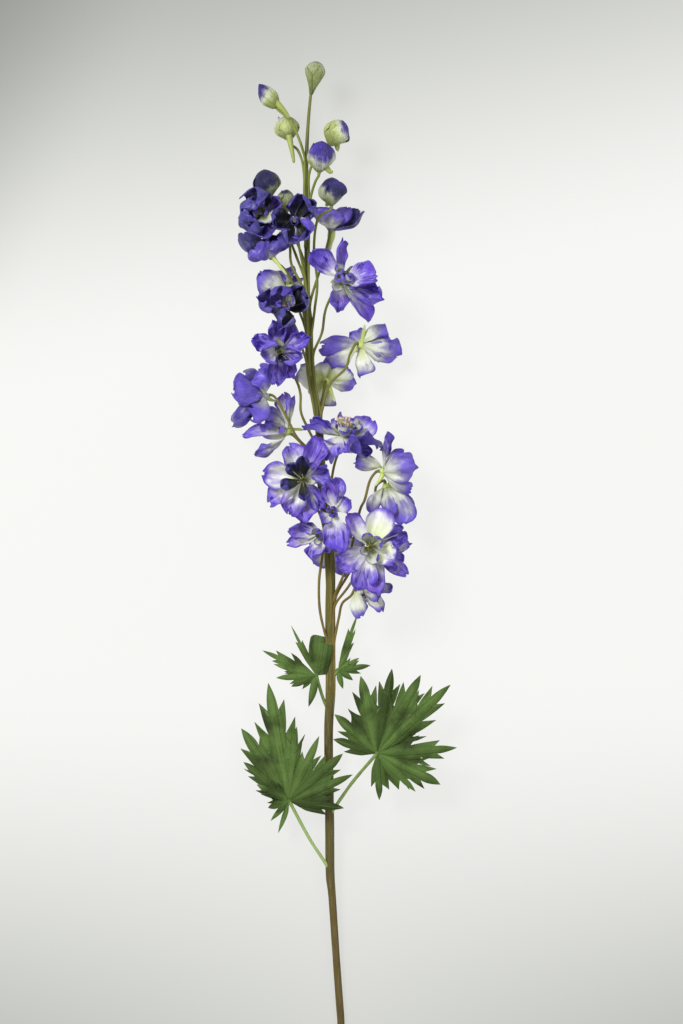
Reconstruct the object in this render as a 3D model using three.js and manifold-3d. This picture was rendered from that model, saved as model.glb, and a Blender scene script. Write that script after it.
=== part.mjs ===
/**
 * A cut delphinium flower spike, lying on its back on a flat surface.
 *
 * Millimetres. +Z is up, away from the surface, and the stem runs along +Y from its cut end to its top bud.
 * The origin is on the surface, in the middle of the flat that the cut end rests on.
 * The spike rests on that flat and on the lowest petals of two blooms behind the stem.
 *
 * Pieces: the stem with every side stalk, 21 blooms (petals and a tuft of stamens each), 8 buds, 4 leaves.
 */
import * as THREE from 'three';
import Module from 'manifold-3d';

const wasm = await Module();
wasm.setup();

// ---------------------------------------------------------------------------------------------------------
// Driving dimensions
// ---------------------------------------------------------------------------------------------------------

const PETAL_THICKNESS = 0.8;
const LEAF_THICKNESS = 0.8;
const TOUCH_GAP = 0.3; // between two pieces that touch on the real plant
const SEAM_TOLERANCE = 0.3; // how far a seam between fused parts may be straightened
const SEAM_PASSES = 3;

const STEM_SIDES = 10;
const STALK_SIDES = 5;
const STALK_RADIUS = 1.05;
const STALK_ROOT_RADIUS = 1.35;
const STALK_END_RADIUS = 0.95;
const PETIOLE_RADIUS = 1.3;

const RECEPTACLE = { radius: 3.1, front: 0.8, back: 3.0, backRadius: 1.5, sides: 7 };
// Neighbouring outer petals lie in two layers, so that they overlap. `ring` and `forward` say where their
// roots sit in the receptacle, `bow` how much further they bow, and `roll` how far they turn over in a bloom
// that looks sideways, so that their broad sides show from above.
const LAYERS = [
  { ring: 2.5, forward: -0.7, bow: 0.09, roll: 1.3 },
  { ring: 2.3, forward: 0.4, bow: -0.07, roll: 1.3 },
];
const INNER_ROOTS = { ring: 1.9, forward: 0.4, roll: 0 };
const SIDE_ON = 0.6; // a bloom looks sideways if its way has less than this share upwards
const SPUR = { rootRadius: 1.8, tipRadius: 0.8, side: 0.6, sides: 5 };
const STAMENS = { length: 6.5, baseRadius: 1.1, crownRadius: 1.9, waistRadius: 1, filaments: 5 };

const UP = new THREE.Vector3(0, 1, 0); // towards the spike's tip
const TOWARDS = new THREE.Vector3(0, 0, 1); // away from the surface

const vec = (xyz) => new THREE.Vector3(...xyz);

// ---------------------------------------------------------------------------------------------------------
// Closed meshes
// ---------------------------------------------------------------------------------------------------------

/** An indexed geometry from a list of points and a list of [a, b, c] triangles. */
function indexed(points, triangles) {
  const geometry = new THREE.BufferGeometry();
  geometry.setFromPoints(points);
  geometry.setIndex(triangles.flat());
  return geometry;
}

/** Skins a row of rings into a closed body. Each ring runs anticlockwise round the way of travel; a ring of
 * one point is an apex. */
function skin(rings) {
  const points = rings.flat();
  const triangles = [];
  let start = 0;
  for (let i = 0; i + 1 < rings.length; i += 1) {
    const near = rings[i].length;
    const far = rings[i + 1].length;
    const next = start + near;
    for (let k = 0; k < Math.max(near, far); k += 1) {
      const a = start + (k % near);
      const b = start + ((k + 1) % near);
      const c = next + ((k + 1) % far);
      const d = next + (k % far);
      if (near > 1) triangles.push([a, b, c]);
      if (far > 1) triangles.push([a, c, d]);
    }
    start = next;
  }
  const first = rings[0].length;
  const last = rings[rings.length - 1].length;
  for (let k = 1; k + 1 < first; k += 1) triangles.push([0, k + 1, k]);
  for (let k = 1; k + 1 < last; k += 1) triangles.push([start, start + k, start + k + 1]);
  return indexed(points, triangles);
}

/** A ring of points about a centre, square to a direction. The radius may depend on the point's number. */
function ring(centre, direction, reference, radius, sides) {
  const across = new THREE.Vector3().crossVectors(direction, reference).normalize();
  const above = new THREE.Vector3().crossVectors(across, direction).normalize();
  return Array.from({ length: sides }, (_, k) => {
    const angle = (-2 * Math.PI * k) / sides; // across x above points back along the way, hence the minus
    const r = typeof radius === 'function' ? radius(k) : radius;
    return centre
      .clone()
      .addScaledVector(across, r * Math.cos(angle))
      .addScaledVector(above, r * Math.sin(angle));
  });
}

/** A closed tube through points, with one radius for each point. */
function tube(points, radii, sides, firstReference = TOWARDS) {
  let reference = firstReference.clone();
  const rings = points.map((point, i) => {
    const before = points[Math.max(i - 1, 0)];
    const after = points[Math.min(i + 1, points.length - 1)];
    const direction = after.clone().sub(before).normalize();
    reference.addScaledVector(direction, -reference.dot(direction));
    if (reference.length() < 0.2) reference = new THREE.Vector3(1, 0, 0).cross(direction);
    reference.normalize();
    return ring(point, direction, reference, radii[i], sides);
  });
  return skin(rings);
}

/** Gives a triangulated sheet its thickness: two alike faces and a rim. */
function thicken(points, triangles, thickness) {
  const normals = points.map(() => new THREE.Vector3());
  for (const [a, b, c] of triangles) {
    const face = points[b].clone().sub(points[a]).cross(points[c].clone().sub(points[a]));
    for (const corner of [a, b, c]) normals[corner].add(face);
  }
  const offset = (side) => points.map((p, i) => p.clone().addScaledVector(normals[i].normalize(), side));
  const under = points.length;
  const solid = [];
  const edges = new Map();
  for (const [a, b, c] of triangles) {
    solid.push([a, b, c], [under + a, under + c, under + b]);
    for (const [from, to] of [[a, b], [b, c], [c, a]]) edges.set(`${from} ${to}`, [from, to]);
  }
  for (const [from, to] of edges.values()) {
    if (edges.has(`${to} ${from}`)) continue;
    solid.push([under + from, under + to, to], [under + from, to, from]);
  }
  return indexed([...offset(thickness / 2), ...offset(-thickness / 2)], solid);
}

/** Joins closed bodies that run into each other into one, without sealed hollows or crumbs. `pressed` keeps
 * only what is above the surface, so that what rests on it is pressed flat. */
function fuse(bodies, pressed = false) {
  const solids = bodies.map((body) => new wasm.Manifold(new wasm.Mesh({
    numProp: 3,
    vertProperties: body.getAttribute('position').array,
    triVerts: new Uint32Array(body.getIndex().array),
  })));
  let joined = solids.reduce((sum, solid) => sum.add(solid));
  for (let pass = 0; pass < SEAM_PASSES; pass += 1) joined = joined.asOriginal().simplify(SEAM_TOLERANCE);
  if (pressed) joined = joined.trimByPlane(TOWARDS.toArray(), 0);
  const whole = joined.decompose().reduce((best, one) => (one.volume() > best.volume() ? one : best)).getMesh();
  const geometry = new THREE.BufferGeometry();
  const positions = new Float32Array(whole.numVert * 3);
  for (let i = 0; i < whole.numVert; i += 1) {
    positions.set(whole.vertProperties.subarray(i * whole.numProp, i * whole.numProp + 3), i * 3);
  }
  geometry.setAttribute('position', new THREE.BufferAttribute(positions, 3));
  geometry.setIndex(new THREE.BufferAttribute(new Uint32Array(whole.triVerts), 1));
  geometry.computeVertexNormals();
  return geometry;
}

// ---------------------------------------------------------------------------------------------------------
// Petals
// ---------------------------------------------------------------------------------------------------------

const OUTLINE = { root: 0.16, widest: 0.62, roundness: 0.42 }; // half-width of a petal along its length

/** A petal's half-width at t along it, as a share of its widest. */
function outline(t) {
  if (t < OUTLINE.widest) {
    return OUTLINE.root + (1 - OUTLINE.root) * Math.sin((Math.PI / 2) * (t / OUTLINE.widest));
  }
  return Math.sqrt(1 - ((t - OUTLINE.widest) / OUTLINE.roundness) ** 2);
}

// Rows of points across a petal: [distance along it, number of cuts across it].
const BROAD_ROWS = [[0, 1], [0.4, 2], [0.78, 2], [1, 1]];
const SLIM_ROWS = [[0, 1], [0.58, 2], [1, 1]];
const SLIM_BELOW = 20; // a petal narrower than this takes the slim rows

/** A cupped petal from its root to its tip. Its hollow faces `inward` at the root and `turned` at the tip. */
function petal({ root, tip, inward, turned, width, bow, cup }) {
  const rows = width < SLIM_BELOW ? SLIM_ROWS : BROAD_ROWS;
  const chord = tip.clone().sub(root);
  const squareTo = (way) => way.clone().addScaledVector(chord, -way.dot(chord) / chord.lengthSq()).normalize();
  const bend = root.clone().lerp(tip, 0.5).addScaledVector(squareTo(inward), -bow * chord.length());
  const curve = new THREE.QuadraticBezierCurve3(root, bend, tip);
  const points = [];
  const triangles = [];
  let start = 0;
  rows.forEach(([t, cuts], row) => {
    const tangent = curve.getTangent(t);
    const hollow = squareTo(inward.clone().lerp(turned, t));
    const side = new THREE.Vector3().crossVectors(tangent, hollow).normalize();
    const lift = new THREE.Vector3().crossVectors(side, tangent);
    const half = 0.5 * width * outline(t);
    for (let k = 0; k <= cuts; k += 1) {
      const s = -1 + (2 * k) / cuts;
      points.push(curve.getPoint(t).addScaledVector(side, half * s).addScaledVector(lift, half * cup * s * s));
    }
    const next = rows[row + 1];
    if (next) triangles.push(...strip(start, cuts, start + cuts + 1, next[1]));
    start += cuts + 1;
  });
  return thicken(points, triangles, PETAL_THICKNESS);
}

/** Triangles between two rows of points that have different numbers of cuts. */
function strip(lower, lowerCuts, upper, upperCuts) {
  const triangles = [];
  let i = 0;
  let j = 0;
  while (i < lowerCuts || j < upperCuts) {
    const lowerNext = i < lowerCuts ? (i + 1) / lowerCuts : Infinity;
    const upperNext = j < upperCuts ? (j + 1) / upperCuts : Infinity;
    if (lowerNext < upperNext) {
      triangles.push([lower + i, lower + i + 1, upper + j]);
      i += 1;
    } else {
      triangles.push([lower + i, upper + j + 1, upper + j]);
      j += 1;
    }
  }
  return triangles;
}

// ---------------------------------------------------------------------------------------------------------
// Blooms
// ---------------------------------------------------------------------------------------------------------

/**
 * Each bloom: `at` is its middle and `faces` the way it looks. `petals` are its outer petals, each
 * [tip right, tip up, tip towards, width, bow, cup], with the tip from the bloom's middle. `inner` is a ring
 * of small petals: how many, their length, width, opening from the axis in degrees, and turn. `spur` is the
 * spur's tip from the middle. `tuft` is the stamens' length and spread, where they are larger than usual.
 */
const BLOOMS = {
  a: {
    at: [-63.2, 665.6, 48], faces: [-0.25, 0, 1], spur: [4, -3, -15], inner: [4, 12, 9, 38, 20],
    petals: [
      [-3, 19, 11, 22, 0.3, 0.5], [13, 8, 12, 19, 0.3, 0.5], [9, -17, 12, 22, 0.3, 0.5],
      [-12, -17, 10, 22, 0.3, 0.5], [-17.5, 3, 11, 23, 0.3, 0.5],
    ],
  },
  b: {
    at: [-36, 659.2, 58], faces: [-0.1, -0.1, 1], spur: [9, -4, -14], inner: [4, 12, 10, 36, 0],
    petals: [
      [3, 18, 12, 23, 0.3, 0.5], [17, 11, 9, 19, 0.3, 0.5], [12, -11, 13, 22, 0.3, 0.5],
      [-3, -17, 11, 23, 0.3, 0.5], [-17, -3, 12, 23, 0.3, 0.5],
    ],
  },
  c: {
    at: [-55.2, 631.2, 46], faces: [-0.55, 0.75, 0.35], spur: [12, -15, 2], inner: [2, 10, 8, 35, 0],
    petals: [
      [-22, 15, 2, 18, 0.25, 0.5], [-13, 4, 13, 20.5, 0.3, 0.5], [2, 13, 12, 20.5, 0.3, 0.5],
      [10, 14, -4, 18, 0.3, 0.4], [-8, 16, -11, 19, 0.3, 0.4],
    ],
  },
  d: {
    at: [-8, 654.4, 28], faces: [0.2, 0.9, -0.3], spur: [-2, -18, 1], inner: [2, 10, 8, 32, 0],
    petals: [
      [1, 15, 9, 22, 0.35, 0.3], [13, 17, 3, 16.5, 0.3, 0.4], [24, 14, -3, 14, 0.3, 0.3],
      [-13, 17, -2, 16.5, 0.3, 0.4], [3, 14, -17, 20.5, 0.3, 0.4],
    ],
  },
  e: {
    at: [0.8, 612.8, 52], faces: [0.5, 0.3, 0.8], spur: [-9, -2, -16], inner: [4, 11, 8, 40, 30],
    petals: [
      [-26, 22, 3, 20.5, 0.15, 0.5], [-1, 31, -3, 11.5, 0.1, 0.4], [26, 3, 10, 20.5, 0.2, 0.4],
      [34, -18, 4, 20.5, 0.15, 0.5], [-4, -25, 8, 19, 0.2, 0.6], [22, -32, -8, 18, 0.15, 0.4],
    ],
  },
  f: {
    at: [-44, 607.2, 24], faces: [-0.5, 0.6, -0.5], spur: [13, -1, 9], inner: [2, 9, 7, 35, 0],
    petals: [
      [-20, 12, 4, 24.5, 0.25, 0.5], [-24, -6, -2, 14, 0.2, 0.4], [4, 17, 0, 15.5, 0.2, 0.4],
      [-10, 8, -25.5, 18, 0.2, 0.4], [10, 8, -12, 15.5, 0.2, 0.4],
    ],
  },
  g: {
    at: [-44.8, 590.4, 56], faces: [-0.05, 0.1, 1], spur: [-6, 5, -15], inner: [4, 12, 9, 38, 40],
    petals: [
      [-2, 17, 9, 22, 0.3, 0.5], [-20, 4, 8, 23, 0.3, 0.5], [-3, -14, 9, 23, 0.3, 0.5],
      [21, 4, 3, 18, 0.2, 0.4], [13, 14, 8, 15.5, 0.3, 0.5],
    ],
  },
  h: {
    at: [-48.8, 555.2, 56], faces: [0, -0.1, 1], spur: [-7, 5, -14], inner: [4, 11, 8, 38, 45],
    petals: [
      [-19, -1, 9, 24.5, 0.25, 0.5], [20, -4, 10, 24.5, 0.25, 0.5], [24, 10, 3, 13, 0.2, 0.4],
      [-6, 23, 2, 16.5, 0.2, 0.4], [9, 21, 3, 18, 0.2, 0.4], [-3, -25, 2, 16.5, 0.2, 0.4],
      [11, -21, 0, 15.5, 0.2, 0.4], [-22, 9, -2, 13, 0.2, 0.4],
    ],
  },
  i: {
    at: [-60.8, 520, 44], faces: [-0.95, -0.1, 0.1], spur: [9, -4, -13], inner: [2, 11, 9, 36, 0],
    petals: [
      [-16, 19, 4, 23, 0.25, 0.5], [-3, 19, 10, 19, 0.2, 0.4], [-22, 2, 15, 22, 0.25, 0.5],
      [-7, -20, 8, 22, 0.2, 0.5], [-25, -24, 1, 14, 0.1, 0.4], [-17, -3, -15, 20.5, 0.25, 0.5],
    ],
  },
  j: {
    at: [-43.2, 491.2, 34], faces: [-0.8, 0.4, 0.2], spur: [13, 2, -8], inner: [2, 10, 7, 36, 0],
    petals: [
      [-36, -3, 0, 11.5, -0.1, 0.4], [-26, -18, 2, 13, 0.15, 0.4], [-19, 7, 3, 18, 0.25, 0.6],
      [-17, 17, 1, 16.5, 0.25, 0.4], [-5, 32, -1, 16.5, 0.1, 0.4], [5, 29, 3, 11.5, 0.1, 0.4],
    ],
  },
  k: {
    at: [16, 561.6, 26], faces: [0.6, -0.1, -0.5], spur: [3, 16, 6], inner: [2, 11, 8, 34, 0],
    petals: [
      [-31, 0, -2, 15.5, -0.1, 0.4], [-30, -11, -6, 15.5, -0.1, 0.4], [-2, -24, 2, 20.5, 0.1, 0.4],
      [24, 1, 0, 24.5, 0.25, 0.5], [29, -8, -7, 16.5, 0.2, 0.4], [20, 14, -3, 15.5, 0.2, 0.4],
      [-3, 2, -27, 18, 0.15, 0.4], [-7, 9, -8, 11.5, 0.1, 0.4],
    ],
  },
  l: {
    at: [-12, 532.8, 20], faces: [0.15, 0.35, -0.9], spur: [7, -17, 7], inner: [2, 10, 7, 34, 0],
    petals: [
      [-3, 15, -1, 16.5, 0.15, 0.4], [18, 10, -1, 20.5, 0.15, 0.4], [24, -2, -5, 15.5, 0.15, 0.4],
      [-23, 5, -4, 19, 0.15, 0.4], [-9, -17, -5, 15.5, 0.15, 0.4],
    ],
  },
  m: {
    at: [1.6, 488, 48], faces: [0.1, 0.85, 0.5], spur: [7, -14, -9], tuft: [16, 5], inner: [4, 13, 8, 42, 30],
    petals: [
      [-25, 14, -2, 11.5, 0.1, 0.4], [-31, 8, 8, 13, 0.1, 0.4], [-3, -11, 17, 25.5, 0.2, 0.3],
      [30, -5, 8, 22, 0.2, 0.4], [23, 9, -4, 18, 0.2, 0.4], [16, -14, 11, 16.5, 0.2, 0.4],
      [-15, -13, 4, 17, 0.15, 0.3], [4, 12, -14, 18, 0.2, 0.4],
    ],
  },
  n: {
    at: [-30.4, 452.8, 56], faces: [-0.1, 0, 1], spur: [-6, 7, -14], tuft: [7, 4], inner: [0, 0, 0, 0, 0],
    petals: [
      [-33, 6, -1, 22, 0.1, 0.4], [-28, -17, 0, 20.5, 0.1, 0.4], [-13, -28, 1, 20.5, 0.1, 0.4],
      [3, -33, 0, 22, 0.1, 0.4], [21, 10, 7, 24.5, 0.15, 0.4], [-10, 29, 0, 22, 0.1, 0.4],
      [14, 35, 3, 19, 0.1, 0.4], [17, -22, 3, 15.5, 0.15, 0.4], [0, 21, 11, 18, 0.25, 0.6],
      [-15, 14, 11, 15.5, 0.25, 0.6], [-20, -7, 11, 15.5, 0.2, 0.6], [2, -19, 12, 14, 0.2, 0.6],
      [14, -4, 12, 14, 0.25, 0.6],
    ],
  },
  o: {
    at: [33.6, 460, 44], faces: [0.85, 0.1, -0.2], spur: [-7, -12, 4], inner: [2, 11, 8, 34, 0],
    petals: [
      [5, 32, 0, 15.5, 0.1, 0.4], [26, 2, 11, 28, 0.25, 0.3], [17, 14, -9, 17, 0.2, 0.4],
      [21, -17, 1, 18, 0.2, 0.4], [-22, 6, 4, 16.5, -0.15, 0.4], [11, 3, -18, 16, 0.2, 0.4],
    ],
  },
  p1: {
    at: [-15.2, 409.6, 49], faces: [-0.45, -0.2, 0.85], spur: [8, 6, -14], inner: [3, 10, 8, 36, 20],
    petals: [
      [-27, 3, 3, 16.5, 0.15, 0.5], [-28, -8, -7, 11.5, 0.1, 0.4], [-5, -22, 3, 20.5, 0.15, 0.5],
      [-17, 9, 1, 11.5, 0.2, 0.4], [8, -14, 7, 13, 0.2, 0.4],
    ],
  },
  p2: {
    at: [-5.6, 427.2, 62], faces: [-0.25, 0.1, 0.95], spur: [8, 7, -13], inner: [3, 10, 7, 36, 40],
    petals: [
      [4, -31, 9, 25, 0.15, 0.5], [-6, 22, 8, 15.5, 0.15, 0.5], [3, 28, -1, 15.5, 0.1, 0.4],
      [13, 9, 4, 18, 0.2, 0.5], [-11, -6, 10, 13, 0.2, 0.4],
    ],
  },
  q: {
    at: [23.2, 399.2, 62], faces: [0, 0.05, 1], spur: [2, 4, -15], tuft: [7, 5], inner: [0, 0, 0, 0, 0],
    petals: [
      [13, 31, 2, 22, 0.1, 0.4], [-17, 26, 3, 16.5, 0.1, 0.4], [-26, -16, 1, 22, 0.1, 0.4],
      [-10, -35, 0, 22, 0.1, 0.4], [7, -37, 2, 20.5, 0.1, 0.4], [19, -10, 7, 22, 0.15, 0.4],
      [18, 11, 4, 18, 0.15, 0.4], [26, -14, -5, 19, 0.1, 0.4], [32, 3, -8, 13, 0.1, 0.4],
      [30, -22, -9, 13, 0.1, 0.4], [-4, 14, 9, 9, 0.2, 0.5],
      [9, 6, 9, 9, 0.2, 0.5], [5, -10, 9, 10, 0.2, 0.5], [-6, -5, 9, 7.5, 0.2, 0.5],
    ],
  },
  r: {
    at: [36, 447.2, 31], faces: [0.25, -0.9, -0.1], spur: [7, 10, 8], inner: [2, 10, 7, 34, 0],
    petals: [
      [-11, -21, 4, 11.5, 0.15, 0.4], [4, -22, 12, 13, 0.15, 0.4], [16, -31, 5, 20, 0.15, 0.25],
      [21, -19, -2, 13, 0.2, 0.4], [9, -22, -14, 16, 0.2, 0.4],
    ],
  },
  s: {
    at: [15.2, 366.4, 42], faces: [0.4, -0.85, 0.2], spur: [-7, 8, -9], inner: [2, 9, 6, 32, 0],
    petals: [
      [1, -23, 9, 15, 0.15, 0.4], [27, -2, 3, 10, 0.2, 0.4], [17, -19, -2, 11.5, 0.15, 0.4],
      [14, -10, 11, 11.5, 0.2, 0.4], [2, -15, -13, 15.5, 0.2, 0.4],
    ],
  },
  t: {
    at: [-4.8, 398.4, 20], faces: [0.1, -0.3, -0.9], spur: [-3, 15, 3], inner: [2, 10, 7, 34, 0],
    petals: [
      [8, -23, -3, 16.5, 0.15, 0.4], [22, 4, -4, 19, 0.15, 0.4], [6, 21, -5, 19, 0.15, 0.4],
      [-20, 10, -4, 19, 0.15, 0.4], [-17, -13, -2, 18, 0.15, 0.4],
    ],
  },
};

/** The short cone that a bloom's petals, spur and stalk grow from. */
function receptacle(middle, facing) {
  const across = Math.abs(facing.y) < 0.9 ? UP : TOWARDS;
  const at = (distance, radius) => (
    ring(middle.clone().addScaledVector(facing, distance), facing, across, radius, RECEPTACLE.sides)
  );
  return skin([
    at(-RECEPTACLE.back, RECEPTACLE.backRadius),
    at(-RECEPTACLE.front, RECEPTACLE.radius),
    at(RECEPTACLE.front, RECEPTACLE.radius),
  ]);
}

/** The curved horn behind a bloom, which leaves the receptacle on one side of the stalk. */
function spur(middle, facing, tip) {
  const end = middle.clone().add(tip);
  const sideways = tip.clone().addScaledVector(facing, -tip.dot(facing)).normalize();
  const start = middle.clone().addScaledVector(sideways, SPUR.side * RECEPTACLE.radius);
  const bend = start.clone().lerp(end, 0.5).addScaledVector(sideways, 0.12 * tip.length());
  const curve = new THREE.QuadraticBezierCurve3(start, bend, end);
  const steps = [0, 0.5, 1];
  const radii = steps.map((t) => THREE.MathUtils.lerp(SPUR.rootRadius, SPUR.tipRadius, t));
  return tube(steps.map((t) => curve.getPoint(t)), radii, SPUR.sides);
}

/** A petal of a bloom, which leaves its root in the receptacle towards its tip. */
function bloomPetal(middle, facing, roots, tip, width, bow, cup) {
  const outward = tip.clone().addScaledVector(facing, -tip.dot(facing)).normalize();
  const roll = Math.abs(facing.z) < SIDE_ON ? roots.roll * (tip.z > 0 ? -1 : 1) : 0;
  return petal({
    root: middle.clone().addScaledVector(outward, roots.ring).addScaledVector(facing, roots.forward),
    tip: middle.clone().add(tip),
    inward: facing,
    turned: facing.clone().addScaledVector(TOWARDS, roll),
    width, bow, cup,
  });
}

/** All of a bloom's petals with its receptacle and spur, as one body. */
function corolla({ at, faces, petals, inner, spur: spurTip }) {
  const middle = vec(at);
  const facing = vec(faces).normalize();
  const bodies = [receptacle(middle, facing), spur(middle, facing, vec(spurTip))];
  const across = new THREE.Vector3().crossVectors(Math.abs(facing.y) < 0.9 ? UP : TOWARDS, facing).normalize();
  const above = new THREE.Vector3().crossVectors(facing, across);
  const turnOf = ([right, up, towards]) => {
    const tip = vec([right, up, towards]);
    return Math.atan2(tip.dot(above), tip.dot(across));
  };
  [...petals].sort((one, other) => turnOf(one) - turnOf(other)).forEach((sizes, rank) => {
    const [right, up, towards, width, bow, cup] = sizes;
    const layer = LAYERS[rank % 2];
    bodies.push(bloomPetal(middle, facing, layer, vec([right, up, towards]), width, bow + layer.bow, cup));
  });
  const [count, length, width, opening, turn] = inner;
  const tilt = THREE.MathUtils.degToRad(opening);
  for (let k = 0; k < count; k += 1) {
    const about = THREE.MathUtils.degToRad(turn) + (2 * Math.PI * k) / count;
    const outward = across.clone().applyAxisAngle(facing, about);
    const tip = outward.multiplyScalar(length * Math.sin(tilt)).addScaledVector(facing, length * Math.cos(tilt));
    bodies.push(bloomPetal(middle, facing, INNER_ROOTS, tip, width, 0.2, 0.4));
  }
  return fuse(bodies, true);
}

/** The tuft of stamens in a bloom: a waisted bundle whose filament tips stand out. */
function tuft({ at, faces, tuft: [length, crownRadius] = [STAMENS.length, STAMENS.crownRadius] }) {
  const middle = vec(at);
  const facing = vec(faces).normalize();
  const across = Math.abs(facing.y) < 0.9 ? UP : TOWARDS;
  const foot = RECEPTACLE.front + TOUCH_GAP;
  const place = (distance, radius) => (
    ring(middle.clone().addScaledVector(facing, foot + distance), facing, across, radius, 2 * STAMENS.filaments)
  );
  const crown = (k) => (k % 2 ? STAMENS.waistRadius : crownRadius);
  return skin([
    place(0, STAMENS.baseRadius),
    place(0.8 * length, crown),
    [middle.clone().addScaledVector(facing, foot + length)],
  ]);
}

// ---------------------------------------------------------------------------------------------------------
// Buds
// ---------------------------------------------------------------------------------------------------------

const BUD_SIDES = 10;
const BUD_LOBE_DEPTH = 0.09; // how far the seams between the five folded petals sink
const BUD_SPUR = { shoulder: 0.22, side: 0.4, rootRadius: 2.4 };

// Radius along a bud, as shares of its largest: [distance along, radius].
const ROUND_BUD = [[0, 0.2], [0.12, 0.5], [0.35, 0.93], [0.6, 1], [0.85, 0.62]];
const PEAR_BUD = [[0, 0.14], [0.25, 0.32], [0.5, 0.8], [0.72, 1], [0.9, 0.68]];
const SLIM_BUD = [[0, 0.2], [0.1, 0.6], [0.38, 1], [0.68, 0.82], [0.9, 0.36]];

/** Each bud: `base` and `tip` of its body, largest radius, profile, and its spur's tip from the base. */
const BUDS = {
  1: { base: [-24, 761.6, 36], tip: [-19.2, 788, 37], radius: 7.6, profile: PEAR_BUD, spur: null },
  2: { base: [-51.2, 750.4, 42], tip: [-65.6, 769.2, 43], radius: 6.8, profile: SLIM_BUD, spur: [13, -4, 5] },
  3: { base: [-41.6, 725.6, 30], tip: [-44.8, 745, 30], radius: 9.6, profile: ROUND_BUD, spur: [4, -19, 8] },
  4: { base: [-9, 720.8, 38], tip: [1.6, 740.5, 39], radius: 10.2, profile: ROUND_BUD, spur: [7, -3, -4] },
  5: { base: [-17.6, 698.4, 47], tip: [-15.2, 723.2, 48], radius: 10.6, profile: ROUND_BUD, spur: [11, 1, 1] },
  6: { base: [-8, 671.8, 45], tip: [-7.2, 694.4, 46], radius: 9.6, profile: ROUND_BUD, spur: [-4, 3, -10] },
  7: { base: [-58.4, 678.4, 36], tip: [-61.6, 701.6, 37], radius: 10.2, profile: ROUND_BUD, spur: [3, 0, -12] },
  8: { base: [-45.6, 667.2, 34], tip: [-43.2, 685.6, 35], radius: 7.4, profile: ROUND_BUD, spur: [2, -2, -10] },
};

/** A closed bud: five folded petals with seams between them, and its spur. */
function bud({ base, tip, radius, profile, spur: spurTip }) {
  const start = vec(base);
  const end = vec(tip);
  const axis = end.clone().sub(start).normalize();
  const rings = profile.map(([along, share]) => {
    const lobed = (k) => radius * share * (k % 2 ? 1 - BUD_LOBE_DEPTH * share : 1);
    return ring(start.clone().lerp(end, along), axis, TOWARDS, lobed, BUD_SIDES);
  });
  const body = skin([...rings, [end]]);
  if (!spurTip) return body;
  const horn = vec(spurTip);
  const sideways = horn.clone().addScaledVector(axis, -horn.dot(axis)).setLength(BUD_SPUR.side * radius);
  const curve = [
    start.clone().lerp(end, BUD_SPUR.shoulder).add(sideways),
    start.clone().addScaledVector(horn, 0.45).add(sideways),
    start.clone().add(horn),
  ];
  return fuse([body, tube(curve, [BUD_SPUR.rootRadius, SPUR.rootRadius, SPUR.tipRadius], SPUR.sides)]);
}

// ---------------------------------------------------------------------------------------------------------
// Leaves
// ---------------------------------------------------------------------------------------------------------

/**
 * Each leaf: `at` is where its stalk meets it, and `fans` are its groups of lobes. Lobes of one fan share a
 * web, and are listed anticlockwise, each [tip right, tip up, tip towards, width, teeth a side]. `web` is how
 * far out the web between two lobes reaches, as a share of their length.
 */
const LEAVES = {
  leaf_left: {
    at: [-41.6, 194.4, 22],
    fans: [
      { web: 0.64, lobes: [[6, 60, 3, 18, 2], [-17, 95, 2, 35, 3], [-39, 58, -4, 30, 2], [-37, 31, -6, 20, 2]] },
      { web: 0.66, lobes: [[44, -5, 9, 19, 2], [51, 22, 12, 16, 1], [43, 39, 14, 22, 2], [23, 54, 11, 20, 1]] },
      { web: 0.5, lobes: [[-26, 14, 10, 18, 2], [-17, -5, 5, 15, 1]] },
      { web: 0.4, lobes: [[-15, -16, -2, 8, 0], [-9, -26, -5, 7, 0]] },
    ],
  },
  leaf_right: {
    at: [28.8, 233.6, 33.6],
    fans: [
      {
        web: 0.64,
        lobes: [
          [40, 23, -2, 15, 1], [58, 56, 4, 24, 3], [35, 63, 8, 24, 2], [12, 68, 6, 23, 3],
          [-13, 62, 0, 26, 3], [-34, 30, -4, 19, 2], [-35, 11, -2, 16, 0],
        ],
      },
      { web: 0.7, lobes: [[2, -38, -8, 16, 2], [30, -28, -4, 11, 0], [51, -28, 2, 23, 2], [64, 8, 8, 23, 3]] },
    ],
  },
  leaf_small_left: {
    at: [-20, 296, 29],
    fans: [
      { web: 0.3, lobes: [[-32, -2, 1, 15, 1], [-20, -9, -2, 15, 1], [-6, -25, 3, 11, 0]] },
      { web: 0.45, lobes: [[-43, 20, 3, 15, 2], [-34, 9, 2, 12, 1]] },
      { web: 0.5, lobes: [[5, 31, 3, 20, 0], [-20, 40, 4, 7, 1]] },
    ],
  },
  leaf_small_right: {
    at: [-2.4, 300, 26],
    fans: [
      {
        web: 0.45,
        lobes: [[4, -15, -1, 8, 0], [12, -8, 0, 8, 0], [26, 4, 2, 14, 1], [17, 10, 4, 9, 1], [10, 18, 5, 8, 0]],
      },
      { web: 0.4, lobes: [[14, 33, 3, 8, 1], [16, 46, 2, 8, 1]] },
    ],
  },
};

const LEAF = {
  archDown: 0.05, // how far a lobe's middle sags behind the line from the leaf's foot to its tip
  fold: 0.25, // how steeply the two halves of a lobe rise from its rib
  toothDepth: 0.38,
  firstTooth: 0.54,
  knob: 1.8,
  stalkStop: 2, // from the leaf's foot, where its stalk ends
};

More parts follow.
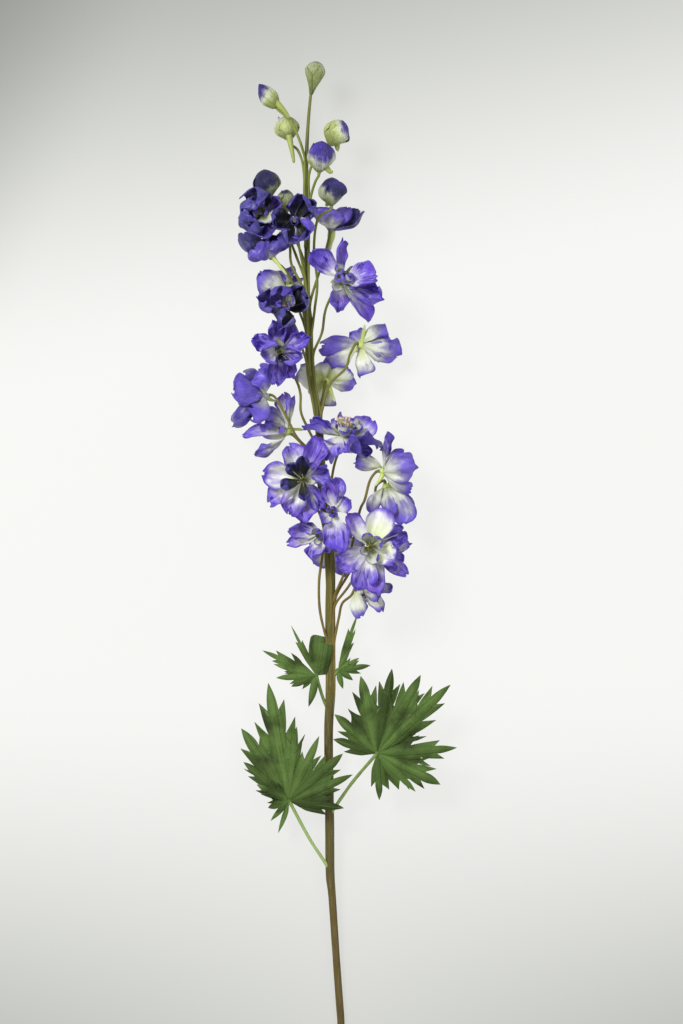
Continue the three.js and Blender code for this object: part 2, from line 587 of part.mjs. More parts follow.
/** The points of one lobe: its rib, its two edges of teeth, and its frame. */
function lobe(foot, [right, up, towards, width, teeth]) {
  const chord = vec([right, up, towards]);
  const tip = foot.clone().add(chord);
  const side = new THREE.Vector3().crossVectors(chord, TOWARDS).normalize();
  const lift = new THREE.Vector3().crossVectors(side, chord).normalize();
  const bend = foot.clone().lerp(tip, 0.5).addScaledVector(lift, LEAF.archDown * chord.length());
  const rib = new THREE.QuadraticBezierCurve3(foot, bend, tip);
  const place = (along, across) => rib.getPoint(along)
    .addScaledVector(side, across)
    .addScaledVector(lift, -LEAF.fold * Math.abs(across));
  const stations = Array.from({ length: Math.max(teeth, 1) }, (_, k) => (
    LEAF.firstTooth + (k * (1 - LEAF.firstTooth)) / (Math.max(teeth, 1) + 0.3)
  ));
  const reach = (along) => 0.5 * width * Math.min(1, (1 - along) / (1 - LEAF.firstTooth)) ** 0.8;
  const edge = (hand) => stations.flatMap((along) => (
    teeth === 0
      ? [place(along, hand * reach(along))]
      : [place(along, hand * reach(along)), place(along - 0.02, hand * reach(along) * (1 - LEAF.toothDepth))]
  ));
  return { tip, chord, ribs: stations.map((along) => place(along - 0.02, 0)), right: edge(1), left: edge(-1) };
}

/** One fan of lobes joined by a web, as a closed blade. */
function fan(foot, { web, lobes }) {
  const points = [foot];
  const triangles = [];
  const add = (point) => points.push(point) - 1;
  const made = lobes.map((sizes) => lobe(foot, sizes));
  const between = (one, other) => {
    const middle = one.chord.clone().add(other.chord).multiplyScalar(0.5);
    return add(foot.clone().addScaledVector(middle, web));
  };
  const ends = (one, hand) => add(foot.clone().lerp(one[hand][0], 0.55));
  let sinus = ends(made[0], 'right');
  made.forEach((one, n) => {
    const nextSinus = n + 1 < made.length ? between(one, made[n + 1]) : ends(one, 'left');
    const ribs = one.ribs.map(add);
    const tip = add(one.tip);
    for (const [hand, firstSinus] of [['right', sinus], ['left', nextSinus]]) {
      const edge = one[hand].map(add);
      const perStation = edge.length / ribs.length;
      const half = [[0, firstSinus, ribs[0]]];
      let previous = firstSinus;
      ribs.forEach((ribPoint, k) => {
        for (const point of edge.slice(k * perStation, (k + 1) * perStation)) {
          half.push([ribPoint, previous, point]);
          previous = point;
        }
        half.push([ribPoint, previous, k + 1 < ribs.length ? ribs[k + 1] : tip]);
      });
      triangles.push(...half.map(([a, b, c]) => (hand === 'right' ? [a, b, c] : [a, c, b])));
    }
    sinus = nextSinus;
  });
  return thicken(points, triangles, LEAF_THICKNESS);
}

/** A whole leaf: its fans and the small knob where its stalk ends. */
function leaf({ at, fans }) {
  const foot = vec(at);
  const knob = new THREE.IcosahedronGeometry(LEAF.knob, 0);
  knob.deleteAttribute('normal');
  knob.deleteAttribute('uv');
  const corners = [];
  const index = [];
  for (let i = 0; i < knob.getAttribute('position').count; i += 1) {
    const corner = new THREE.Vector3().fromBufferAttribute(knob.getAttribute('position'), i).add(foot);
    let known = corners.findIndex((point) => point.distanceTo(corner) < 1e-4);
    if (known < 0) known = corners.push(corner) - 1;
    index.push(known);
  }
  const triangles = Array.from({ length: index.length / 3 }, (_, k) => index.slice(3 * k, 3 * k + 3));
  return fuse([indexed(corners, triangles), ...fans.map((sizes) => fan(foot, sizes))]);
}

// ---------------------------------------------------------------------------------------------------------
// Stem and stalks
// ---------------------------------------------------------------------------------------------------------

const REST_FLAT = { from: -12, to: 12 }; // the straight stretch of the cut end that lies on the surface
const CUT_END_RADIUS = 3.1;
const CUT_END_HEIGHT = CUT_END_RADIUS * Math.cos(Math.PI / STEM_SIDES); // a facet, not a corner, faces down

/** The main stem's middle line and radius, from where it leaves the surface: [x, y, z, radius]. */
const STEM = [
  [-0.1, 15, CUT_END_HEIGHT, 3.1], [-1.2, 30, 3.3, 3.05], [-4, 68.8, 5, 3], [-7.2, 116.8, 8, 3.1],
  [-8.8, 136, 9.5, 3.6], [-9.2, 180.8, 12.5, 3.7], [-10, 248.8, 18, 3.6], [-8.4, 284.8, 22, 4],
  [-8.8, 340.8, 27, 3.9], [-8.8, 388.8, 31, 3.8], [-15.2, 452.8, 35, 3.4], [-19.2, 510.4, 36, 3],
  [-24.4, 536, 36, 2.7], [-25.9, 571.2, 36, 2.5], [-27.2, 626.4, 36, 2.4], [-28, 690.4, 36, 2.3],
  [-27.4, 718, 36, 1.8], [-26.2, 740, 36, 1.3], [-24.4, 761, 36, 1.1],
];

/** Stalks of the blooms, from the stem outwards. Each ends behind its bloom, where `stalkTo` takes it on. */
const BLOOM_STALKS = {
  a: [[-28, 603, 36], [-39.5, 625, 39], [-41, 640, 40], [-46, 652, 40]],
  b: [[-28.6, 606, 36], [-30.8, 626, 42], [-34, 642, 46]],
  c: [[-27, 579, 36], [-34, 600, 34], [-44, 620, 36]],
  d: [[-26, 597, 36], [-14, 630, 32]],
  e: [[-24, 546, 36], [-21.5, 556, 37], [-15.2, 571, 38], [-12, 590, 40]],
  f: [[-27, 572, 36], [-35, 592, 31]],
  g: [[-26, 545, 36], [-32, 561, 40], [-35.5, 573, 44]],
  h: [[-19.5, 480, 36], [-26, 493, 38], [-32, 507, 41], [-32.5, 522, 42], [-36.5, 534, 42]],
  i: [[-18.5, 470, 36], [-34.5, 486, 42], [-41.5, 499, 43], [-50.5, 516, 42]],
  j: [[-17.5, 464, 36], [-30, 480, 34]],
  k: [[-18.5, 502, 36], [-14.5, 511, 38], [-9, 529, 42], [3.5, 542, 42], [7, 553, 34]],
  l: [[-19, 506, 36], [-14.5, 521, 28]],
  m: [[-13.5, 436, 35], [-8, 450, 37], [-5, 466, 40]],
  n: [[-13, 420, 34], [-24, 441, 40]],
  o: [[-7, 357, 29], [2, 377, 38], [9, 401, 40], [15, 428, 42], [19, 437, 43], [23, 452, 44]],
  p1: [[-9, 325, 26], [-13, 330, 30], [-17, 349, 34], [-17.6, 371, 38], [-15.5, 388, 40]],
  p2: [[-9, 385, 31], [-6, 408, 44]],
  q: [[-8, 346, 28], [-3.5, 355, 33], [5.6, 367, 38], [16, 384, 42]],
  r: [[-7.5, 352, 29], [-2, 364, 32], [14, 392, 30], [27, 430, 22], [28, 447, 23]],
  s: [[-8, 321, 26], [-4, 331, 29], [-1.6, 343, 32], [1, 354, 36], [8.5, 361, 41]],
  t: [[-9, 372, 29], [-7, 388, 25]],
};

/** Stalks of the buds. Each ends at its bud's base. */
const BUD_STALKS = {
  2: [[-28, 709, 36], [-30.4, 716, 39], [-33.6, 725.6, 41.5], [-40, 739, 43]],
  3: [[-28, 696, 36], [-31, 708, 33], [-35, 718, 31]],
  4: [[-27, 697, 36], [-21, 710, 37], [-16, 716, 37]],
  5: [[-27, 664, 36], [-24, 680, 40], [-20.5, 691, 45]],
  6: [[-26, 569, 36], [-22.6, 577, 37], [-21, 590, 38], [-19, 611, 39], [-21.6, 637, 41], [-18.5, 661, 44]],
  7: [[-28, 613, 36], [-35, 630, 33], [-49, 665, 33]],
  8: [[-28, 627, 36], [-36, 645, 34], [-42, 660, 34]],
};

/** Leaf stalks, from the stem to the leaf's foot, with the stalk's radius. */
const LEAF_STALKS = {
  leaf_left: [[-8.8, 138, 9.5], [-14, 146, 13], [-26, 165, 18]],
  leaf_right: [[-9, 183, 13], [-3, 192, 17], [10, 211, 26]],
  leaf_small_left: [[-9.5, 268, 20], [-14, 276, 21.5]],
  leaf_small_right: [[-9, 290, 22], [-6.5, 294, 24]],
};

/** A stalk through points, thicker at its root, with its end left square to the last stretch. */
function stalk(points, radius = STALK_RADIUS) {
  const curve = new THREE.CatmullRomCurve3(points.slice(0, -1), false, 'centripetal');
  const steps = Math.max(3, points.length - 1);
  const route = [...curve.getSpacedPoints(steps), points[points.length - 1]];
  const radii = route.map((_, i) => (i < 2 ? STALK_ROOT_RADIUS : radius));
  radii[radii.length - 1] = STALK_END_RADIUS;
  return tube(route, radii, STALK_SIDES);
}

/** The last two points of a stalk that runs into a piece's foot along a direction. */
function arrival(foot, direction, room) {
  return [foot.clone().addScaledVector(direction, -room), foot.clone().addScaledVector(direction, -TOUCH_GAP)];
}

function stem() {
  const flat = [REST_FLAT.from, REST_FLAT.to].map((y) => new THREE.Vector3(0, y, CUT_END_HEIGHT));
  const centres = STEM.map(([x, y, z]) => new THREE.Vector3(x, y, z));
  const main = tube(
    [...flat, ...centres],
    [CUT_END_RADIUS, CUT_END_RADIUS, ...STEM.map(([, , , radius]) => radius)],
    STEM_SIDES,
  );
  const bodies = [main];
  for (const [name, route] of Object.entries(BLOOM_STALKS)) {
    const facing = vec(BLOOMS[name].faces).normalize();
    const foot = vec(BLOOMS[name].at).addScaledVector(facing, -RECEPTACLE.back);
    bodies.push(stalk([...route.map(vec), ...arrival(foot, facing, 3)]));
  }
  for (const [name, route] of Object.entries(BUD_STALKS)) {
    const foot = vec(BUDS[name].base);
    const direction = vec(BUDS[name].tip).sub(foot).normalize();
    bodies.push(stalk([...route.map(vec), ...arrival(foot, direction, 3)]));
  }
  for (const [name, route] of Object.entries(LEAF_STALKS)) {
    const foot = vec(LEAVES[name].at);
    const direction = foot.clone().sub(vec(route[route.length - 1])).normalize();
    const end = foot.clone().addScaledVector(direction, -LEAF.stalkStop);
    bodies.push(stalk([...route.map(vec), ...arrival(end, direction, 2)], PETIOLE_RADIUS));
  }
  return fuse(bodies);
}

// ---------------------------------------------------------------------------------------------------------
// The whole spike
// ---------------------------------------------------------------------------------------------------------

const FINISHES = {
  stem: { color: '#6f7438', roughness: 0.6 },
  petals: { color: '#5546b8', roughness: 0.75 },
  stamens: { color: '#c9cf9a', roughness: 0.8 },
  bud: { color: '#6c68a8', roughness: 0.7 },
  leaf: { color: '#45683a', roughness: 0.7 },
};

const group = new THREE.Group();

function add(name, geometry, finish) {
  const material = new THREE.MeshStandardMaterial({ ...FINISHES[finish], metalness: 0 });
  const mesh = new THREE.Mesh(geometry, material);
  mesh.name = name;
  group.add(mesh);
}

add('stem', stem(), 'stem');
for (const [name, sizes] of Object.entries(BLOOMS)) {
  add(`bloom_${name}`, corolla(sizes), 'petals');
  add(`stamens_${name}`, tuft(sizes), 'stamens');
}
for (const [name, sizes] of Object.entries(BUDS)) add(`bud_${name}`, bud(sizes), 'bud');
for (const [name, sizes] of Object.entries(LEAVES)) add(name, leaf(sizes), 'leaf');

export default group;
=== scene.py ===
"""A cut delphinium flower spike that lies on its back on a pale floor.

The spike is a bent stem with its stalks, 21 blooms with their tufts of stamens, 8 buds and 4 lobed leaves.
Sizes are in millimetres in the tables and in metres in the meshes. The stem runs along +Y and +Z is up.
"""

import logging
import math
import random
from dataclasses import dataclass, field
from enum import Enum

import bpy
import numpy as np
from bpy.types import ID, Material, Mesh, Node, NodeSocket, NodeTree, Object
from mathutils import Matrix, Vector, noise


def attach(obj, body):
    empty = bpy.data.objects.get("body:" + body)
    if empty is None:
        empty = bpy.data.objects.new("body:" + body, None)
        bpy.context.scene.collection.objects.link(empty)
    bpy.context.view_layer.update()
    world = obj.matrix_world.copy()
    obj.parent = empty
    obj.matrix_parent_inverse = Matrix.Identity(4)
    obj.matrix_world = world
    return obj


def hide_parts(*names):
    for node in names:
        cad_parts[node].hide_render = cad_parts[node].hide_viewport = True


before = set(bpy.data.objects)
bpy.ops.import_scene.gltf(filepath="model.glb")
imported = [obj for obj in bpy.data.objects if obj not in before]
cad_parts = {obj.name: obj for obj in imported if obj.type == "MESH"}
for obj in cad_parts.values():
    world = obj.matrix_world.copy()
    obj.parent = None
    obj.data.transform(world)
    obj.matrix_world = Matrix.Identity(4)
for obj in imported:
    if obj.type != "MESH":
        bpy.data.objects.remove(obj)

log = logging.getLogger("delphinium")

MM = 0.001
UP = np.array([0.0, 1.0, 0.0])  # towards the spike's tip
TOWARDS = np.array([0.0, 0.0, 1.0])  # away from the floor

Numbers = tuple[float, ...]
Array = np.ndarray
Faces = list[tuple[int, ...]]
Rows = tuple[Numbers, ...]
Pair = tuple[float, float]
Options = dict[str | int, object] | None


# Measures


@dataclass(frozen=True)
class BloomPlan:
    """One bloom's measures.

    Args:
        at: its middle.
        faces: the way it looks.
        spur: its spur's tip from the middle.
        petals: its outer petals: tip from the middle (right, up, towards), width, bow and cup.
        inner: its ring of small petals: count, length, width, opening in degrees and turn.
        tuft: its stamens' length and spread.
        tone: how dark it is, from 0, white with violet edges, to 1, navy.
        heart: how dark its inner petals are.
        hearts: how many of the last petals belong to the heart.
        horn: how stout the spur is against the others'.
        closed: how far its petals close over its middle, from 0 to 1.
    """

    at: Numbers
    faces: Numbers
    spur: Numbers
    petals: Rows
    inner: Numbers = (0, 0, 0, 0, 0)
    tuft: Pair = (6.5, 1.9)
    tone: float = 0.5
    heart: float = 0.3
    hearts: int = 0
    horn: float = 1.0
    closed: float = 0.0


BLOOMS: dict[str, BloomPlan] = {
    "a": BloomPlan(
        at=(-63.2, 665.6, 48), faces=(-0.25, 0, 1), spur=(4, -3, -15), inner=(2, 11, 10, 34, 20), tone=0.9,
        heart=0.5, hearts=2, closed=1, petals=(
            (-3, 21, 11, 24, 0.3, 0.5), (13, 8, 12, 21, 0.3, 0.5), (9, -17, 12, 24, 0.3, 0.5),
            (-12, -17, 10, 24, 0.3, 0.5), (-17.5, 3, 11, 25, 0.3, 0.5), (4, -8, 15, 15, 0.3, 0.5, -0.5),
            (-8, 9, 14, 14, 0.3, 0.5, -0.1),
        ),
    ),
    "b": BloomPlan(
        at=(-36, 659.2, 58), faces=(-0.1, -0.1, 1), spur=(9, -4, -14), inner=(2, 8, 11, 30, 30), tone=0.95,
        heart=1.0, closed=0.95, petals=(
            (3, 18, 12, 23, 0.3, 0.5), (17, 11, 9, 19, 0.3, 0.5), (12, -11, 13, 23, 0.3, 0.5, -0.15),
            (-3, -17, 11, 24, 0.3, 0.5), (-17, -3, 12, 23, 0.3, 0.5),
        ),
    ),
    "c": BloomPlan(
        at=(-55.2, 631.2, 46), faces=(-0.55, 0.75, 0.35), spur=(12, -15, 2), inner=(2, 10, 8, 35, 0),
        tone=0.92, heart=0.9, closed=0.9, petals=(
            (-22, 15, 2, 20, 0.25, 0.5), (-13, 4, 13, 25, 0.35, 0.5, -0.06), (2, 12, 12, 25, 0.35, 0.5),
            (10, 14, -4, 20, 0.3, 0.4), (-8, 16, -11, 21, 0.3, 0.4),
        ),
    ),
    "d": BloomPlan(
        at=(-8, 654.4, 28), faces=(0.2, 0.9, -0.3), spur=(-2, -18, 1), inner=(2, 10, 8, 32, 0), tone=0.84,
        heart=0.5, horn=1.75, closed=0.5, petals=(
            (1, 15, 9, 24, 0.4, 0.3, -0.5), (13, 17, 3, 16.5, 0.3, 0.4), (24, 14, -3, 14, 0.3, 0.3),
            (-13, 17, -2, 16.5, 0.3, 0.4), (3, 14, -17, 20.5, 0.3, 0.4),
        ),
    ),
    "e": BloomPlan(
        at=(0.8, 612.8, 52), faces=(0.5, 0.3, 0.8), spur=(-9, -2, -16), inner=(5, 16, 11, 60, 30), tone=0.58,
        heart=0.15, closed=0.3, petals=(
            (-26, 22, 3, 22, 0.15, 0.5), (-1, 31, -3, 12, 0.1, 0.4), (26, 3, 10, 23, 0.2, 0.4),
            (34, -18, 4, 23, 0.15, 0.5), (-4, -25, 8, 21, 0.2, 0.6), (22, -32, -8, 20, 0.15, 0.4, -0.25),
        ),
    ),
    "f": BloomPlan(
        at=(-44, 607.2, 24), faces=(-0.5, 0.6, -0.5), spur=(13, -1, 9), inner=(2, 9, 7, 35, 0), tone=0.32,
        petals=(
            (-20, 12, 4, 24.5, 0.25, 0.5), (-24, -6, -2, 14, 0.2, 0.4), (4, 17, 0, 15.5, 0.2, 0.4),
            (-10, 8, -25.5, 18, 0.2, 0.4), (10, 8, -12, 15.5, 0.2, 0.4),
        ),
    ),
    "g": BloomPlan(
        at=(-44.8, 590.4, 56), faces=(-0.05, 0.1, 1), spur=(-6, 5, -15), inner=(2, 11, 9, 30, -20),
        tone=0.92, heart=0.45, hearts=1, closed=0.95, petals=(
            (-2, 17, 9, 22, 0.3, 0.5), (-20, 4, 8, 23, 0.3, 0.5), (-3, -14, 9, 23, 0.3, 0.5),
            (21, 4, 3, 18, 0.2, 0.4), (13, 14, 8, 17, 0.3, 0.5), (9, 8, 13, 12, 0.3, 0.5, -0.6),
        ),
    ),
    "h": BloomPlan(
        at=(-48.8, 555.2, 56), faces=(0, -0.1, 1), spur=(-7, 5, -14), tone=0.66, heart=0.95, hearts=3,
        closed=0.5, petals=(
            (-15, -1, 15, 26, 0.35, 0.8), (16, -4, 15, 26, 0.35, 0.8), (24, 10, 3, 15, 0.2, 0.4),
            (-6, 23, 2, 16.5, 0.2, 0.4), (9, 21, 3, 18, 0.2, 0.4), (-3, -25, 2, 16.5, 0.2, 0.4),
            (11, -21, 0, 15.5, 0.2, 0.4), (-22, 9, -2, 15, 0.2, 0.4), (1, 12, 9, 10, 0.2, 0.6, -0.6),
            (3, -11, 8, 11, 0.2, 0.6), (-2, 3, 10, 8, 0.2, 0.6),
        ),
    ),
    "i": BloomPlan(
        at=(-60.8, 520, 44), faces=(-0.95, -0.1, 0.1), spur=(9, -4, -13), inner=(2, 11, 9, 36, 0), tone=0.79,
        heart=0.6, closed=0.9, petals=(
            (-16, 19, 4, 25, 0.25, 0.5), (-3, 19, 10, 22, 0.2, 0.4), (-22, 2, 15, 25, 0.25, 0.5),
            (-7, -20, 8, 22, 0.2, 0.5), (-25, -24, 1, 14, 0.1, 0.4), (-17, -3, -15, 20.5, 0.25, 0.5),
        ),
    ),
    "j": BloomPlan(
        at=(-43.2, 491.2, 34), faces=(-0.8, 0.4, 0.2), spur=(13, 2, -8), inner=(2, 10, 7, 36, 0), tone=0.32,
        petals=(
            (-36, -3, 0, 11.5, -0.1, 0.4), (-26, -18, 2, 13, 0.15, 0.4), (-19, 7, 3, 18, 0.25, 0.6),
            (-17, 17, 1, 16.5, 0.25, 0.4), (-5, 32, -1, 16.5, 0.1, 0.4), (5, 29, 3, 11.5, 0.1, 0.4),
        ),
    ),
    "k": BloomPlan(
        at=(16, 561.6, 26), faces=(0.6, -0.1, -0.5), spur=(3, 16, 6), inner=(2, 11, 8, 34, 0), tone=0.42,
        petals=(
            (-31, 1, -2, 20, -0.1, 0.4, 0.1), (-30, -12, -6, 20, -0.1, 0.4),
            (-2, -26, 2, 23, 0.1, 0.4, -0.25), (24, 1, 0, 31, 0.25, 0.5, 0.1), (31, -9, -7, 24, 0.2, 0.4),
            (20, 16, -3, 22, 0.2, 0.4), (-3, 2, -27, 20, 0.15, 0.4), (-7, 11, -8, 17, 0.1, 0.4, 0.1),
        ),
    ),
    "l": BloomPlan(
        at=(-12, 532.8, 20), faces=(0.15, 0.35, -0.9), spur=(7, -17, 7), inner=(2, 10, 7, 34, 0), tone=0.02,
        heart=0.1, petals=(
            (-3, 16, -1, 23, 0.15, 0.4), (19, 11, -1, 25, 0.15, 0.4), (25, -3, -5, 18, 0.15, 0.4, 0.4),
            (-24, 4, -4, 26, 0.15, 0.4), (-7, -19, -5, 24, 0.15, 0.4),
        ),
    ),
    "m": BloomPlan(
        at=(1.6, 488, 48), faces=(0.1, 0.85, 0.5), spur=(7, -14, -9), inner=(5, 17, 13, 58, 30),
        tuft=(17, 8), tone=0.58, heart=0.1, petals=(
            (-25, 14, -2, 13, 0.1, 0.4, 0.3), (-31, 8, 8, 17, 0.1, 0.4), (-3, -14, 17, 32, 0.2, 0.3),
            (31, -5, 8, 30, 0.2, 0.4, 0.32), (24, 13, -4, 21, 0.2, 0.4, -0.3),
            (16, -16, 11, 26, 0.2, 0.4, 0.25), (-15, -15, 4, 21, 0.15, 0.3, -0.3),
            (4, 15, -14, 22, 0.2, 0.4, -0.35),
        ),
    ),
    "n": BloomPlan(
        at=(-30.4, 452.8, 56), faces=(-0.1, 0, 1), spur=(-6, 7, -14), tuft=(7, 4), tone=0.36, heart=0.88,
        hearts=5, petals=(
            (-33, 6, -1, 22, 0.1, 0.4, -0.2), (-28, -17, 0, 20.5, 0.1, 0.4, -0.08),
            (-13, -28, 1, 20.5, 0.1, 0.4, -0.12), (3, -33, 0, 22, 0.1, 0.4, -0.05),
            (21, 10, 7, 24.5, 0.15, 0.4, 0.3), (-10, 29, 0, 22, 0.1, 0.4), (14, 35, 3, 19, 0.1, 0.4, 0.25),
            (17, -22, 3, 15.5, 0.15, 0.4, 0.2), (0, 21, 11, 14.5, 0.25, 0.75),
            (-15, 14, 12, 12.5, 0.25, 0.75), (-20, -7, 12, 12.5, 0.2, 0.75), (2, -19, 12, 12, 0.2, 0.75),
            (12, -1, 12, 8, 0.25, 0.75, -0.45),
        ),
    ),
    "o": BloomPlan(
        at=(33.6, 460, 44), faces=(0.85, 0.1, -0.2), spur=(-7, -12, 4), inner=(2, 11, 8, 34, 0), tone=0.36,
        petals=(
            (5, 32, 0, 15.5, 0.1, 0.4), (26, 2, 11, 28, 0.25, 0.3), (17, 14, -9, 17, 0.2, 0.4),
            (21, -17, 1, 18, 0.2, 0.4), (-22, 6, 4, 16.5, -0.15, 0.4), (11, 3, -18, 16, 0.2, 0.4),
        ),
    ),
    "p1": BloomPlan(
        at=(-15.2, 409.6, 49), faces=(-0.45, -0.2, 0.85), spur=(8, 6, -14), inner=(3, 10, 8, 36, 20),
        tone=0.36, petals=(
            (-27, 3, 3, 16.5, 0.15, 0.5), (-28, -8, -7, 11.5, 0.1, 0.4), (-5, -22, 3, 20.5, 0.15, 0.5),
            (-17, 9, 1, 11.5, 0.2, 0.4), (8, -14, 7, 13, 0.2, 0.4),
        ),
    ),
    "p2": BloomPlan(
        at=(-5.6, 427.2, 62), faces=(-0.25, 0.1, 0.95), spur=(8, 7, -13), inner=(3, 10, 7, 36, 40),
        tone=0.58, heart=0.4, petals=(
            (4, -31, 9, 25, 0.15, 0.5), (-6, 22, 8, 15.5, 0.15, 0.5), (3, 28, -1, 15.5, 0.1, 0.4),
            (13, 9, 4, 18, 0.2, 0.5), (-11, -6, 10, 13, 0.2, 0.4),
        ),
    ),
    "q": BloomPlan(
        at=(23.2, 399.2, 62), faces=(0, 0.05, 1), spur=(2, 4, -15), tuft=(7, 5), tone=0.24, heart=0.26,
        hearts=4, petals=(
            (13, 31, 2, 22, 0.1, 0.4, -0.05), (-17, 26, 3, 16.5, 0.1, 0.4, 0.12),
            (-26, -16, 1, 22, 0.1, 0.4, 0.22), (-10, -35, 0, 22, 0.1, 0.4, 0.15),
            (7, -37, 2, 20.5, 0.1, 0.4, 0.05), (19, -10, 7, 22, 0.15, 0.4, -0.1),
            (19, 10, -6, 17, 0.15, 0.4, 0.25), (26, -14, -5, 19, 0.1, 0.4, 0.35),
            (32, 3, -8, 15, 0.1, 0.4, -0.1), (29, 15, -7, 20, 0.1, 0.4, 0.3),
            (30, -22, -9, 13, 0.1, 0.4, 0.2), (-4, 14, 9, 12, 0.2, 0.6), (11, 6, 9, 11, 0.2, 0.6),
            (5, -13, 9, 13, 0.2, 0.6), (-8, -4, 9, 11, 0.2, 0.6),
        ),
    ),
    "r": BloomPlan(
        at=(36, 447.2, 31), faces=(0.25, -0.9, -0.1), spur=(7, 10, 8), inner=(2, 10, 7, 34, 0), tone=0.42,
        petals=(
            (-11, -21, 4, 11.5, 0.15, 0.4), (4, -22, 12, 13, 0.15, 0.4), (16, -31, 5, 20, 0.15, 0.25),
            (21, -19, -2, 13, 0.2, 0.4), (9, -22, -14, 16, 0.2, 0.4),
        ),
    ),
    "s": BloomPlan(
        at=(15.2, 366.4, 42), faces=(0.4, -0.85, 0.2), spur=(-7, 8, -9), inner=(2, 9, 6, 32, 0), tone=0.12,
        heart=0.1, petals=(
            (1, -23, 9, 15, 0.15, 0.4), (27, -2, 3, 10, 0.2, 0.4), (17, -19, -2, 11.5, 0.15, 0.4),
            (14, -10, 11, 11.5, 0.2, 0.4), (2, -15, -13, 15.5, 0.2, 0.4),
        ),
    ),
    "t": BloomPlan(
        at=(-4.8, 398.4, 20), faces=(0.1, -0.3, -0.9), spur=(-3, 15, 3), inner=(2, 10, 7, 34, 0), tone=0.4,
        petals=(
            (8, -23, -3, 16.5, 0.15, 0.4), (22, 4, -4, 19, 0.15, 0.4), (6, 21, -5, 19, 0.15, 0.4),
            (-20, 10, -4, 19, 0.15, 0.4), (-17, -13, -2, 18, 0.15, 0.4),
        ),
    ),
}

STEM: Rows = (  # middle line and radius
    (-0.1, 15, 2.948, 3.1), (-1.2, 30, 3.3, 3.05), (-4, 68.8, 5, 3), (-7.2, 116.8, 8, 3.1),
    (-8.8, 136, 9.5, 3.6), (-9.2, 180.8, 12.5, 3.7), (-10, 248.8, 18, 3.6), (-8.4, 284.8, 22, 4),
    (-8.8, 340.8, 27, 3.9), (-8.8, 388.8, 31, 3.8), (-15.2, 452.8, 35, 3.4), (-19.2, 510.4, 36, 3),
    (-24.4, 536, 36, 2.7), (-25.9, 571.2, 36, 2.5), (-27.2, 626.4, 36, 2.4), (-28, 690.4, 36, 2.3),
    (-27.4, 718, 36, 1.9), (-26.2, 740, 36, 1.6), (-24.4, 760, 36, 1.45), (-23.6, 764, 36, 1.4),
)

BLOOM_STALKS: dict[str, Rows] = {  # from the stem outwards; each runs on into its bloom's back
    "a": ((-28, 603, 36), (-39.5, 625, 39), (-41, 640, 40), (-46, 652, 40)),
    "b": ((-28.6, 606, 36), (-30.8, 626, 42), (-34, 642, 46)),
    "c": ((-27, 579, 36), (-34, 600, 34), (-44, 620, 36)),
    "d": ((-26, 597, 36), (-14, 630, 32)),
    "e": ((-24, 546, 36), (-21.5, 556, 37), (-15.2, 571, 38), (-12, 590, 40)),
    "f": ((-27, 572, 36), (-35, 592, 31)),
    "g": ((-26, 545, 36), (-32, 561, 40), (-35.5, 573, 44)),
    "h": ((-19.5, 480, 36), (-26, 493, 38), (-32, 507, 41), (-32.5, 522, 42), (-36.5, 534, 42)),
    "i": ((-18.5, 470, 36), (-34.5, 486, 42), (-41.5, 499, 43), (-50.5, 516, 42)),
    "j": ((-17.5, 464, 36), (-30, 480, 34)),
    "k": ((-18.5, 502, 36), (-14.5, 511, 38), (-9, 529, 42), (3.5, 542, 42), (7, 553, 34)),
    "l": ((-19, 506, 36), (-14.5, 521, 28)),
    "m": ((-13.5, 436, 35), (-8, 450, 37), (-5, 466, 40)),
    "n": ((-13, 420, 34), (-24, 441, 40)),
    "o": ((-7, 357, 29), (2, 377, 38), (9, 401, 40), (15, 428, 42), (19, 437, 43), (23, 452, 44)),
    "p1": ((-9, 325, 26), (-13, 330, 30), (-17, 349, 34), (-17.6, 371, 38), (-15.5, 388, 40)),
    "p2": ((-9, 385, 31), (-6, 408, 44)),
    "q": ((-8, 346, 28), (-3.5, 355, 33), (5.6, 367, 38), (16, 384, 42)),
    "r": ((-7.5, 352, 29), (-2, 364, 32), (14, 392, 30), (27, 430, 22), (28, 447, 23)),
    "s": ((-8, 321, 26), (-4, 331, 29), (-1.6, 343, 32), (1, 354, 36), (8.5, 361, 41)),
    "t": ((-9, 372, 29), (-7, 388, 25)),
}

BUD_STALKS: dict[str, Rows] = {  # from the stem outwards; each runs on into its bud
    "2": ((-28, 709, 36), (-30.4, 716, 39), (-33.6, 725.6, 41.5), (-40, 739, 43)),
    "3": ((-28, 696, 36), (-31, 708, 33), (-35, 718, 31)),
    "4": ((-27, 697, 36), (-21, 710, 37), (-16, 716, 37)),
    "5": ((-27, 664, 36), (-24, 680, 40), (-20.5, 691, 45)),
    "6": (
        (-26, 569, 36), (-22.6, 577, 37), (-21, 590, 38), (-19, 611, 39), (-21.6, 637, 41),
        (-18.5, 661, 44),
    ),
    "7": ((-28, 613, 36), (-35, 630, 33), (-49, 665, 33)),
    "8": ((-28, 627, 36), (-36, 645, 34), (-42, 660, 34)),
}

LEAF_STALKS: dict[str, Rows] = {  # from the stem outwards; each runs on into its leaf's foot
    "leaf_left": ((-8.8, 138, 9.5), (-14, 146, 13), (-26, 165, 18)),
    "leaf_right": ((-9, 183, 13), (-3, 192, 17), (10, 211, 26)),
    "leaf_small_left": ((-9.5, 268, 20), (-14, 276, 21.5)),
    "leaf_small_right": ((-9, 290, 22), (-6.5, 294, 24)),
}


